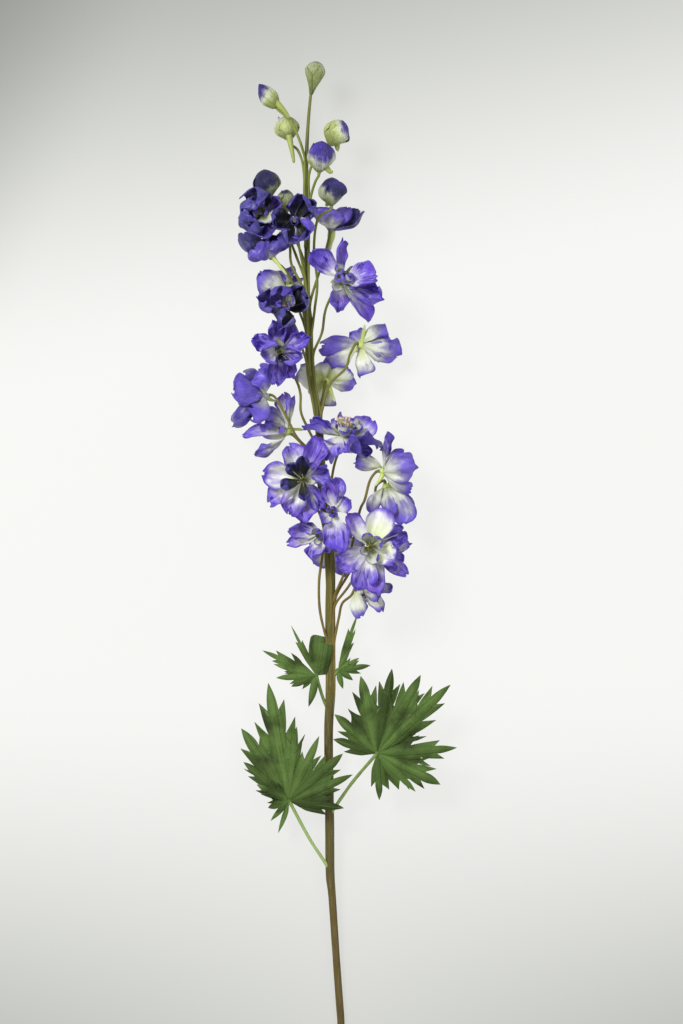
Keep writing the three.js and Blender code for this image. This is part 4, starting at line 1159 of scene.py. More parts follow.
class StemTint(Enum):
    """The colours of the main stem or of the stalks, as stops from the cut end to the tip."""

    BARK = (
        (0.0, "#534420"), (0.12, "#584a25"), (0.19, "#504722"), (0.3, "#4d4520"), (0.4, "#575322"),
        (0.52, "#5a5726"), (0.62, "#474b1d"), (0.85, "#515722"), (1.0, "#70713a"),
    )
    STALK = (
        (0.0, "#6a5a28"), (0.42, "#6e5e2a"), (0.5, "#695d2b"), (0.62, "#67632b"), (0.8, "#6b732f"),
        (1.0, "#7b8a40"),
    )
    PETIOLE = ((0.0, "#8aa45c"), (0.2, "#92ab66"), (0.26, "#718a48"), (0.4, "#607a3e"), (1.0, "#607a3e"))


@dataclass(frozen=True)
class StemFinish:
    """Moulded, painted stem: satin, lightly ridged along, and mottled."""

    name: str
    tints: StemTint
    # The paler colour along the fine ridges.
    ridge_tint: str = "#a39c66"
    blotch: str = "#3f3a1e"
    length: float = 0.8

    def dress(self) -> Material:
        """Builds the material.

        Returns:
            The material.
        """
        dye = Dye(self.name)
        _, up, _ = dye.places()
        colour = dye.ramp(up * (1 / self.length), *self.tints.value)
        ridges = dye.clouds(900.0, 26.0)
        blotches = dye.clouds(150.0, 60.0)
        # Paler along the fine lengthwise ridges.
        ridge_tint = dye.blend(ridges.eased(0.45, 0.72) * 0.16, colour, self.ridge_tint)
        shaded = dye.blend(blotches.eased(0.5, 0.75) * 0.35, ridge_tint, self.blotch)
        normal = dye.relief(ridges * 0.7 + blotches * 0.3, 0.0009)
        return dye.finished(shaded, 0.5 + ridges * 0.2, normal, Specular_IOR_Level=0.25)


@dataclass(frozen=True)
class LeafFinish:
    """Matt cloth leaves with pressed ribs, and painted shade at the fans' feet, between the lobes, in the
    pleats' creases and over darker lobes.

    A mesh keeps `rib`, how far a point is from its lobe's rib, and `outward`, how far out along it, in
    centimetres, `front` or back, and `dim`, how much painted shade darkens its lobe.
    """

    blade: str = "#546e33"
    deep: str = "#26340f"
    rib: str = "#64793f"
    back: str = "#58703a"

    def dress(self) -> Material:
        """Builds the material.

        Returns:
            The material.
        """
        dye = Dye("pressed_leaf")
        rib, outward, front, dim = dye.values("rib", "outward", "front", "dim")
        clouds = dye.clouds(38.0)
        weave = dye.clouds(1500.0, detail=1.0)
        chevrons = ((outward - rib * 0.75) * 15.0).sine()
        branches = chevrons.eased(0.72, 1.0) * rib.eased(0.0, 0.08)
        midrib = (1.0 - rib.eased(0.01, 0.07)) * outward.eased(0.6, 3.2)
        # Fine pleats along the lobes: a relief whose creases also take painted shade.
        pleats = ((rib + clouds * 0.35) * 16.0).sine().eased(0.2, 1.0) * rib.eased(0.05, 0.3)
        ground = dye.blend(clouds.eased(0.3, 0.56), self.deep, self.blade)
        # Painted shade: darker at a fan's foot and between its lobes, in the pleats' creases, and over the
        # lobes that the plan darkens.
        valley_shade = (1.0 - outward.eased(0.8, 5.2)) * (rib + 0.35).eased(0.35, 1.1)
        shaded = dye.blend((valley_shade * 0.9).or_more(pleats * 0.2).or_more(dim * 0.9), ground, self.deep)
        sided = dye.blend(front, self.back, shaded)
        veined = dye.blend((midrib * 0.3).or_more(branches * 0.08), sided, self.rib)
        woven = dye.blend((weave - 0.5).eased(0.0, 0.4) * 0.2, veined, self.deep)
        height = 1.0 - midrib * 0.3 - branches * 0.15 - pleats * 0.5 + weave * 0.1
        return dye.finished(woven, 0.66 + clouds * 0.12, dye.relief(height, 0.0008), Specular_IOR_Level=0.2)


@dataclass(frozen=True)
class FloorFinish:
    """A white sweep of paper that glows to wash out the shadows cast on it, with painted light falloff:
    greyer towards its near and far ends and darker in its far left corner.
    """

    white: str = "#f4f4f2"
    # The next two colours are painted light falloff in the glow: greyer ends and a darker far left corner.
    falloff_grey: str = "#a3a69f"
    corner: str = "#62655f"
    # The paper's own colour: dark, so that the lamps' shadows on it are faint, and darker at its ends as
    # painted falloff.
    lit: str = "#4a4a48"
    lit_far: str = "#383a36"
    # A painted glow that stands in for lamp light on the paper and washes out the shadows on it.
    glow: float = 0.895

    def dress(self) -> Material:
        """Builds the material.

        Returns:
            The material.
        """
        dye = Dye("paper_sweep")
        right, up, _ = dye.places()
        # Painted light falloff: greyer at the far and near ends, darker in the far left corner.
        far = (up - right * 0.22).eased(0.57, 0.97)
        near = (0.3 - up).eased(0.0, 0.42) * (abs(right) * 1.1 + 0.62)
        corner = (up * 0.5 - right).eased(0.55, 0.76) * 0.6
        grain = dye.clouds(600.0, detail=2.0)
        swept = dye.blend(far.or_more(near), self.white, self.falloff_grey)
        shade = dye.blend(corner, swept, self.corner)
        lit = dye.blend(far.or_more(near), self.lit, self.lit_far)
        return dye.finished(
            lit, 0.85, dye.relief(grain, 0.0001), Emission_Color=shade, Emission_Strength=self.glow,
        )


# Blooms


@dataclass(frozen=True)
class Petal:
    """One petal: a cupped sheet with a claw, a creased middle, a wavy margin and a turned tip.

    Args:
        root: where it leaves the receptacle.
        tip: where it ends.
        inward: the way its hollow looks at the root.
        turned: the way its hollow looks at the tip.
        width: how wide it is.
        bow: how far its middle bows out, as a share of its length.
        cup: how much its sides rise.
        tone: how dark it is.
        seed: its own number from 0 to 1.
        core: 1 for a small petal of the heart.
        furl: how far its tip turns inwards, as a share of its length.
        roll: how far its margins roll in, in radians.
        rows: its steps along.
        columns: its steps across, an even number.
        widest_at: where it is widest.
        claw: how wide its root is, as a share of its width.
        end: just past its tip, where its round end would close.
        thickness: how thick it is.
        calm: how smooth it is, from 0 to 1.
    """

    root: Array
    tip: Array
    inward: Array
    turned: Array
    width: float
    bow: float
    cup: float
    tone: float = 0.5
    seed: float = 0.5
    core: float = 0.0
    furl: float = 0.0
    roll: float = 0.25
    rows: int = 22
    columns: int = 16
    widest_at: float = 0.64
    claw: float = 0.16
    end: float = 1.006
    thickness: float = 0.4
    calm: float = 0.0

    def half_width(self, t: float) -> float:
        """Half the petal's width over its curve.

        Args:
            t: the share of its length.

        Returns:
            The half width.
        """
        if t < self.widest_at:
            share = self.claw + (1 - self.claw) * math.sin(math.pi / 2 * (t / self.widest_at) ** 1.2)
        else:
            share = max(0.0, 1 - ((t - self.widest_at) / (self.end - self.widest_at)) ** 2.3) ** 0.45
        return 0.57 * self.width * share

    def section(self, across: Array, half: float, rolls: Pair) -> tuple[Array, Array]:
        """The petal's cross-section, as a curve that turns up towards its two margins.

        Args:
            across: the places across, from -1 to 1.
            half: half the width over the curve.
            rolls: how far the two margins roll in, in radians.

        Returns:
            How far sideways and how far up each place is.
        """
        mids = (across[1:] + across[:-1]) / 2
        rolled = np.where(mids > 0, rolls[1], -rolls[0]) * ease(np.abs(mids), 0.35, 1.0)
        turns = self.cup * 1.75 * mids + rolled
        steps = half * np.diff(across)
        aside = np.concatenate([[0.0], np.cumsum(steps * np.cos(turns))])
        above = np.concatenate([[0.0], np.cumsum(steps * np.sin(turns))])
        centre = len(across) // 2
        return aside - aside[centre], above - above[centre]

    def sheet(self) -> tuple[Array, Array, Array]:
        """The petal's middle sheet.

        Returns:
            Its points row by row, and how far along and across each one is.
        """
        chance = random.Random(self.seed)
        wild = 1 - self.calm
        chord = self.tip - self.root
        length = length_of(chord)
        bend = (self.root + self.tip) / 2 - square_to(self.inward, chord) * self.bow * length
        waves = chance.uniform(1.2, 2.5)
        phases = (chance.uniform(0, 6.28), chance.uniform(0, 6.28))
        ruffle = chance.uniform(0.26, 0.56) * wild
        point_out = chance.uniform(-0.08, 0.11) * length * wild
        curl = (chance.uniform(-0.2, 0.14) * wild + self.furl) * length
        crease = chance.uniform(0.06, 0.24) * wild
        pleats, pleat_phase = chance.uniform(1.2, 2.8) * math.pi, chance.uniform(0, 6.28)
        lean = chance.uniform(-0.14, 0.14) * wild
        twist = chance.uniform(-0.6, 0.6) * wild
        rolls = (self.roll + chance.uniform(-0.5, 0.7) * wild, self.roll + chance.uniform(-0.5, 0.7) * wild)
        across = np.linspace(-1, 1, self.columns + 1)
        edge = np.abs(across)
        points, alongs = [], []
        for k in range(self.rows + 1):
            t = 1 - (1 - k / self.rows) ** 1.5
            middle, tangent = along_bezier(self.root, bend, self.tip, t)
            hollow = square_to(self.inward + (self.turned - self.inward) * t, chord)
            flat = unit(np.cross(tangent, hollow))
            lift = np.cross(flat, unit(tangent))
            side = flat * math.cos(twist * t) + lift * math.sin(twist * t)
            lift = np.cross(side, unit(tangent))
            half = self.half_width(t)
            opened = float(ease(t, 0.15, 0.75))
            aside, rise = self.section(across, half, (rolls[0] * opened, rolls[1] * opened))
            wave = np.where(
                across > 0,
                np.sin(2 * math.pi * waves * t + phases[0]), np.sin(2 * math.pi * waves * t + phases[1]),
            )
            belly = math.sin(math.pi * min(t * 1.05, 1))
            rise = rise - crease * half * np.exp(-((across / 0.2) ** 2)) * belly
            rise += ruffle * 0.5 * self.width * t * t * edge**1.5 * wave
            rise += 0.13 * wild * half * np.sin(across * pleats + pleat_phase) * belly
            rise += curl * max(0.0, (t - 0.55) / 0.45) ** 2 * (0.6 + 0.4 * across**2)
            spread = (aside + half * lean * (1 - across**2) * t) * (1 + 0.07 * wild * wave * edge)
            nose = point_out * np.exp(-((across / 0.3) ** 2)) * max(0.0, (t - 0.7) / 0.3) ** 2
            nose = nose - 0.35 * abs(curl) * max(0.0, (t - 0.6) / 0.4) ** 2
            nose = nose + 0.022 * length * wild * np.sin(across * pleats * 1.8 + phases[0]) * t**6
            points.append(
                middle + np.outer(spread, side) + np.outer(rise, lift) + np.outer(nose, unit(tangent))
            )
            alongs.append(np.full(len(across), t))
        sheet, along = np.vstack(points), np.concatenate(alongs)
        offset = Vector((self.seed * 50, 0, 0))
        wrinkles = [
            1.7 * noise.noise(Vector(point * 0.11) + offset)
            + 0.7 * noise.noise(Vector(point * 0.28) + offset)
            for point in sheet
        ]
        sheet += np.outer(np.array(wrinkles) * along * wild, unit(self.inward))
        return sheet, along, np.tile(across, self.rows + 1)

    def add_to(self, gathering: Gathering) -> None:
        """Adds the petal to a bloom's mesh.

        Args:
            gathering: that mesh.
        """
        sheet, along, across = self.sheet()
        gathering.add_sheet(
            sheet, grid_faces(self.rows + 1, self.columns + 1), self.thickness,
            along=along, across=across, tone=self.tone, seed=self.seed, core=self.core,
        )


@dataclass
class Bloom:
    """One bloom with its receptacle, spur and petals, as one grown piece.

    Args:
        letter: the bloom's letter.
        plan: its measures.
        keeps: the values that its finish reads.
        layers: how the two layers of outer petals are set: ring, forward, further bow, and turn to the front.
        inner_layer: ring and forward for the small petals.
        side_on: how little a bloom looks up where its petals turn to the front.
        fullness: how much wider the petals of a closed bloom are.
        stretch: how much further they reach, to make up for their furled tips.
        heart_ring: the second ring of small petals: length, width and opening as shares of the first's.
        receptacle_profile: places along the receptacle, and its radius there.
        spur_radii: the spur's radius at its root and tip.
        spur_side: how far from the middle the spur starts.
        spur_steps: how many points it runs through, and its sides.
    """

    letter: str
    plan: BloomPlan
    keeps: tuple[str, ...] = ("along", "across", "front", "tone", "seed", "core", "calyx")
    layers: Rows = ((2.5, -0.7, 0.09, 1.3), (2.3, 0.4, -0.07, 1.3))
    inner_layer: Pair = (1.9, 0.4)
    side_on: float = 0.6
    fullness: float = 0.22
    stretch: float = 0.14
    heart_ring: Numbers = (0.75, 0.9, 0.5)
    receptacle_profile: Rows = (
        (-3.0, 1.5), (-2.2, 2.1), (-0.9, 3.0), (0.2, 3.1), (0.9, 2.5), (1.05, 1.2),
    )
    spur_radii: Pair = (1.9, 0.85)
    spur_side: float = 1.86
    spur_steps: int = 12

    def __post_init__(self) -> None:
        """Works out the bloom's own frame."""
        self.middle = vec(self.plan.at)
        self.facing = unit(vec(self.plan.faces))
        self.reference = UP if abs(self.facing[1]) < 0.9 else TOWARDS
        self.across = unit(np.cross(self.reference, self.facing))
        self.above = np.cross(self.facing, self.across)
        self.chance = random.Random(f"bloom {self.letter}")
        self.body = Gathering(self.keeps)

    def outer_petal(self, sizes: Numbers, layer: Numbers) -> Petal:
        """One of the large petals.

        Args:
            sizes: its measures in the bloom's plan; a seventh makes it darker or paler.
            layer: how its root is set on the receptacle.

        Returns:
            The petal.
        """
        ring, forward, further, turn = layer
        closed = self.plan.closed
        tip = vec(sizes[:3]) * (1 + self.stretch * closed)
        outward = square_to(tip, self.facing)
        sign = (-1 if tip[2] > 0 else 1) if abs(self.facing[2]) < self.side_on else 0
        shift = sizes[6] if len(sizes) > 6 else 0.0
        return Petal(
            root=self.middle + outward * ring + self.facing * forward, tip=self.middle + tip,
            inward=self.facing, turned=self.facing + TOWARDS * turn * sign,
            width=sizes[3] * (1 + self.fullness * closed),
            bow=sizes[4] + further, cup=sizes[5] * (1 + 0.35 * closed),
            tone=min(1.0, max(0.0, self.plan.tone + shift + self.chance.uniform(-0.13, 0.13))),
            seed=self.chance.random(), furl=self.chance.uniform(0.15, 0.42) * closed,
            roll=0.25 + self.chance.uniform(0.15, 0.85) * closed, claw=0.16 + 0.22 * closed,
        )

    def small_petal(self, tip: Array, width: float, cup: float, shift: float = 0.0) -> Petal:
        """One of the small petals of the heart.

        Args:
            tip: its tip from the bloom's middle.
            width: its width.
            cup: how much its sides rise.
            shift: how much darker than the others it is.

        Returns:
            The petal.
        """
        ring, forward = self.inner_layer
        outward = square_to(tip, self.facing)
        return Petal(
            root=self.middle + outward * ring + self.facing * forward, tip=self.middle + tip,
            inward=self.facing, turned=self.facing, width=width * self.chance.uniform(0.85, 1.2),
            bow=self.chance.uniform(0.1, 0.3), cup=cup,
            tone=min(1.0, max(0.0, self.plan.heart + shift + self.chance.uniform(-0.2, 0.15))),
            seed=self.chance.random(), core=1.0, furl=self.chance.uniform(0.0, 0.3), roll=0.5,
            rows=15, columns=12, widest_at=0.72, claw=0.22, calm=0.4,
        )

    def petals(self) -> list[Petal]:
        """All the bloom's petals.

        Returns:
            The petals, the outer ones first.
        """
        plan = self.plan
        outer = plan.petals[: len(plan.petals) - plan.hearts]

        def turn_of(sizes: Numbers) -> float:
            """The petal's turn about the way that the bloom looks."""
            tip = vec(sizes[:3])
            return math.atan2(float(tip @ self.above), float(tip @ self.across))

        made = [
            self.outer_petal(sizes, self.layers[rank % 2])
            for rank, sizes in enumerate(sorted(outer, key=turn_of))
        ]
        made += [
            self.small_petal(vec(sizes[:3]), sizes[3], sizes[5], sum(sizes[6:]))
            for sizes in plan.petals[len(outer):]
        ]
        count, length, width, opening, turn = plan.inner
        shorter, slimmer, closer = self.heart_ring
        rings = [
            (length, width, opening, turn),
            (length * shorter, width * slimmer, opening * closer, turn + 45),
        ]
        for length, width, opening, turn in rings[: 2 if count > 2 else 1]:
            for k in range(count):
                tilt = math.radians(opening * self.chance.uniform(0.7, 1.35))
                about = math.radians(turn + self.chance.uniform(-22, 22)) + 2 * math.pi * k / count
                outward = self.across * math.cos(about) + self.above * math.sin(about)
                far = length * self.chance.uniform(0.85, 1.15)
                tip = outward * far * math.sin(tilt) + self.facing * far * math.cos(tilt)
                made.append(self.small_petal(tip, width, 0.6))
        return made

    def add_receptacle(self) -> None:
        """Adds the small cup that the petals grow from."""
        route = np.array([self.middle + self.facing * distance for distance, _ in self.receptacle_profile])
        radii = np.array([radius for _, radius in self.receptacle_profile])
        points, faces, along = tube_rings(route, radii, 16)
        green = 1 - 0.95 * ease(self.plan.tone, 0.6, 0.85)
        self.body.add(points, faces, along=along * 0.2, front=1.0, tone=self.plan.tone, calyx=green)

    def add_spur(self) -> None:
        """Adds the curved horn behind the bloom."""
        horn = vec(self.plan.spur)
        sideways = square_to(horn, self.facing)
        start = self.middle + sideways * self.spur_side
        end = self.middle + horn
        bend = (start + end) / 2 + sideways * 0.12 * length_of(horn)
        shares = np.linspace(0, 1, self.spur_steps)
        route = np.array([along_bezier(start, bend, end, t)[0] for t in shares])
        radii = (self.spur_radii[0] + (self.spur_radii[1] - self.spur_radii[0]) * shares) * self.plan.horn
        radii *= 1 - 0.6 * ease(shares, 0.9, 1.0)
        radii *= 1 + 0.12 * np.sin(shares * 9 + self.chance.uniform(0, 6))
        points, faces, along = tube_rings(route, radii, self.spur_steps)
        self.body.add(points, faces, along=along, front=1.0, tone=self.plan.tone, calyx=1.0)

    def build(self, material: Material) -> None:
        """Makes the bloom.

        Args:
            material: its finish.
        """
        self.add_receptacle()
        self.add_spur()
        for petal in self.petals():
            petal.add_to(self.body)
        name = f"corolla_{self.letter}"
        settle(self.body.as_mesh(name), name, material, f"bloom_{self.letter}")


@dataclass
class StamenTufts:
    """The tufts of stamens: filaments that stand on the receptacle, each with its anther at the end.

    Args:
        cream: the finish of a long tuft, as olive is a short one's and dusky is a dark bloom's.
        foot: how far in front of the bloom's middle they stand.
        foot_spread: how widely they stand.
        dusky_from: the tone from which a bloom is dark.
        long_from: the length from which a tuft is long.
        few: how many stamens a tuft has, and many from a length of `many_from`.
    """

    cream: StamenFinish = StamenFinish("cream_stamens", "#c9c29a", "#cdb49c")
    olive: StamenFinish = StamenFinish("olive_stamens", "#8c8b58", "#5b5434")
    dusky: StamenFinish = StamenFinish("dusky_stamens", "#4a4258", "#a08fa4")
    foot: float = 1.0
    foot_spread: float = 1.2
    dusky_from: float = 0.8
    long_from: float = 7.5
    few: int = 14
    many: int = 26
    many_from: float = 7.0

    def jig(self, material: Material) -> Jig:
        """The tree that sets a filament with its anther on each point.

        Args:
            material: the tuft's finish.

        Returns:
            The tree.
        """
        jig = Jig("tuft_" + material.name, Filament_Radius=0.035, Anther_Radius=0.075)
        points, thin, thick, _ = jig.entry.outputs
        bent = jig.out(
            "GeometryNodeCurveQuadraticBezier", None,
            {"Resolution": 6, "Start": (0, 0, 0), "Middle": (0.16, 0.0, 0.5), "End": (0.0, 0.0, 0.95)},
        )
        ring = jig.out("GeometryNodeCurvePrimitiveCircle", None, {"Resolution": 6, "Radius": thin})
        filament = jig.out(
            "GeometryNodeCurveToMesh", None, {"Curve": bent, "Profile Curve": ring, "Fill Caps": True},
        )
        ball = jig.out("GeometryNodeMeshIcoSphere", None, {"Radius": thick, "Subdivisions": 2})
        anther = jig.out(
            "GeometryNodeTransform", None,
            {"Geometry": ball, "Translation": (0.0, 0.0, 0.96), "Scale": (1.0, 0.7, 1.5)},
        )
        marked = jig.out(
            "GeometryNodeStoreNamedAttribute", {"data_type": "FLOAT", "domain": "POINT"},
            {"Geometry": anther, "Name": "anther", "Value": 1.0},
        )
        stamen = jig.node("GeometryNodeJoinGeometry")
        for part in (filament, marked):
            jig.tree.links.new(part, stamen.inputs[0])
        leant = jig.named("lean", "FLOAT_VECTOR")
        aligned = jig.out("FunctionNodeAlignRotationToVector", {"axis": "Z"}, {"Vector": leant})
        scale = jig.out("ShaderNodeCombineXYZ", None, dict.fromkeys(range(3), jig.named("reach")))
        placed = jig.out(
            "GeometryNodeInstanceOnPoints", None,
            {"Points": points, "Instance": stamen.outputs[0], "Rotation": aligned, "Scale": scale},
        )
        return jig.close(placed, material)

    def roots(self, bloom: Bloom) -> Mesh:
        """The points that one tuft's filaments stand on, with their leans and lengths.

        Args:
            bloom: the tuft's bloom.

        Returns:
            A mesh of loose points.
        """
        chance = random.Random(f"tuft {bloom.letter}")
        length, spread = bloom.plan.tuft
        count = self.few if length < self.many_from else self.many
        points, leans, reaches = [], [], []
        for k in range(count):
            about, out = k * GOLDEN_ANGLE, math.sqrt((k + 0.5) / count)
            outward = bloom.across * math.cos(about) + bloom.above * math.sin(about)
            reach = length * chance.uniform(0.82, 1.0) * (1 - 0.12 * out)
            points.append(bloom.middle + bloom.facing * self.foot + outward * self.foot_spread * out)
            leans.append(bloom.facing * length + outward * max(spread - self.foot_spread, 0.4) * out * 1.15)
            reaches.append(reach)
        mesh = bpy.data.meshes.new(f"roots_{bloom.letter}")
        mesh.from_pydata((np.array(points) * MM).tolist(), [], [])
        keep(mesh, "lean", np.array(leans))
        keep(mesh, "reach", np.array(reaches, dtype=np.float32) * MM)
        return mesh

    def build(self) -> None:
        """Makes every bloom's tuft."""
        dyed = {finish: finish.dress() for finish in (self.cream, self.olive, self.dusky)}
        jigs = {finish: self.jig(material) for finish, material in dyed.items()}
        for letter, plan in BLOOMS.items():
            long = plan.tuft[0] > self.long_from
            finish = self.dusky if plan.tone > self.dusky_from else self.cream if long else self.olive
            name = f"tuft_{letter}"
            mesh = jigs[finish].made_from(
                self.roots(Bloom(letter, plan)), name,
                Filament_Radius=0.024 if long else 0.036, Anther_Radius=0.055 if long else 0.085,
            )
            settle(mesh, name, dyed[finish], f"stamens_{letter}")


# Buds


@dataclass
class Bud:
    """One closed bud: an egg of folded petals with looser ones wrapped round it, and its spur.

    Args:
        number: the bud's number.
        plan: its measures.
        keeps: the values that its finish reads.
        sides: how many sides the egg has.
        overlap: how far its folds stand out, as a share of its radius.
        twist: how far they wind round it from base to tip, in petals.
        wraps: the looser petals: turn in turns, how far up they reach, and width against the radius.
        spur_shoulder: how far up the spur starts.
        spur_side: how far out it starts, as a share of the radius.
        spur_radius: its radius at the root.
        spur_taper: how much slimmer its tip is.
        rib_stand: how far out the middle of a rib runs, against the bud's radius there.
        rib_radii: a rib's radius at its foot and its head.
    """

    number: str
    plan: BudPlan
    keeps: tuple[str, ...] = ("along", "across", "wash", "deep", "seed", "calyx")
    sides: int = 60
    overlap: float = 0.1
    twist: float = 0.55
    wraps: Rows = ((0.07, 0.93, 2.1), (0.4, 0.86, 2.2), (0.72, 0.97, 2.0))
    spur_shoulder: float = 0.22
    spur_side: float = 0.4
    spur_radius: float = 2.8
    spur_taper: float = 1.7
    rib_stand: float = 1.04
    rib_radii: Pair = (0.9, 0.45)

    def __post_init__(self) -> None:
        """Works out the bud's own frame."""
        self.start, self.end = vec(self.plan.base), vec(self.plan.tip)
        self.axis = unit(self.end - self.start)
        self.across = square_to(TOWARDS, self.axis)
        self.above = np.cross(self.axis, self.across)
        self.chance = random.Random(f"bud {self.number}")
        self.body = Gathering(self.keeps)

    def outward(self, turn: float | Array) -> Array:
        """The way out at a turn about the bud, in radians from the way up off the floor."""
        return np.multiply.outer(np.cos(turn), self.across) + np.multiply.outer(np.sin(turn), self.above)

    def values(self, points: Array) -> dict[str, Array | float]:
        """What the finish reads at points of the bud.

        Args:
            points: the points.

        Returns:
            The values by their names.
        """
        away = points - self.start
        along = away @ self.axis / length_of(self.end - self.start)
        around = np.arctan2(away @ self.above, away @ self.across)
        lean = self.plan.lean * np.cos(around - math.radians(self.plan.lean_at))
        return {"along": along, "wash": along - self.plan.flush + lean, "deep": self.plan.deep}

    def add_egg(self) -> None:
        """Adds the folded petals."""
        plan = self.plan
        profile = flowing(vec([(*pair, 0.0) for pair in plan.form.value]), 0.045)
        turn = np.arange(self.sides) * 2 * math.pi / self.sides
        fuller = 1.0 if plan.form is BudForm.ROUND else 1.07
        rings, folds = [], []
        for share, radius, _ in profile:
            petals = (turn * 5 / (2 * math.pi) + self.twist * share + int(plan.radius * 7) * 0.13) % 1
            step = ease(petals, 0.0, 0.12) * (1 - 0.75 * petals)
            lapped = plan.radius * radius * fuller * (1 + self.overlap * radius * (step * 1.6 - 1))
            rings.append(self.start + (self.end - self.start) * share + lapped[:, None] * self.outward(turn))
            folds.append(1 - 2 * np.minimum(petals, 1 - petals) * 2)
        points, faces = capped(rings, self.start, self.end)
        across = np.concatenate([*folds, [0.0, 0.0]])
        self.body.add(points, faces, across=across, seed=0.3, **self.values(points))

    def add_wraps(self) -> None:
        """Adds a round bud's looser petals, with edges that stand off a little."""
        length = length_of(self.end - self.start)
        largest = max(radius for _, radius in self.plan.form.value) * self.plan.radius
        for turn, reach, width in self.wraps if self.plan.form is BudForm.ROUND else ():
            out = self.outward(2 * math.pi * (turn + self.chance.uniform(-0.06, 0.06)))
            root = self.start + self.axis * length * 0.04 + out * largest * 0.12
            reach *= self.chance.uniform(0.9, 1.03)
            tip = self.start + self.axis * length * reach + out * largest * 0.5
            seed = self.chance.random()
            petal = Petal(
                root=root, tip=tip, inward=-out, turned=-out, width=width * largest,
                bow=1.42 * largest / length, cup=0.6, seed=seed, roll=-0.25,
                rows=18, widest_at=0.56, claw=0.2, calm=0.55,
            )
            sheet, _, across = petal.sheet()
            self.body.add_sheet(
                sheet, grid_faces(petal.rows + 1, petal.columns + 1), petal.thickness,
                across=across, seed=seed, **self.values(sheet),
            )

    def add_ribs(self) -> None:
        """Adds the lines that stand out on the bud, as where its stalk runs up its front."""
        heights, radii = vec(self.plan.form.value).T
        for rib in self.plan.ribs:
            share, turn = flowing(np.array([(up, about / 90, 0.0) for up, about in rib]), 0.04)[:, :2].T
            out = np.interp(share, heights, radii) * self.plan.radius * self.rib_stand
            route = self.start + np.outer(share, self.end - self.start)
            route += out[:, None] * self.outward(turn * math.pi / 2)
            points, faces, _ = tube_rings(route, np.linspace(*self.rib_radii, len(route)), 10)
            self.body.add(points, faces, across=1.0, **self.values(points))

    def add_spur(self) -> None:
        """Adds the bud's horn, where it has one."""
        if self.plan.spur is None:
            return
        horn = vec(self.plan.spur)
        sideways = square_to(horn, self.axis) * self.spur_side * self.plan.radius
        stops = np.array([
            self.start + (self.end - self.start) * self.spur_shoulder + sideways,
            self.start + horn * 0.45 + sideways,
            self.start + horn,
        ])
        route = flowing(stops, 1.2)
        shares = np.linspace(0, 1, len(route))
        radii = self.spur_radius - self.spur_taper * shares
        radii[-1] *= 0.5
        points, faces, _ = tube_rings(route, radii, 12)
        self.body.add(points, faces, calyx=1.0, **self.values(points))

    def build(self, material: Material) -> None:
        """Makes the bud.

        Args:
            material: its finish.
        """
        self.add_egg()
        self.add_wraps()
        self.add_ribs()
        self.add_spur()
        name = f"folded_bud_{self.number}"
        settle(self.body.as_mesh(name), name, material, f"bud_{self.number}")


# Leaves


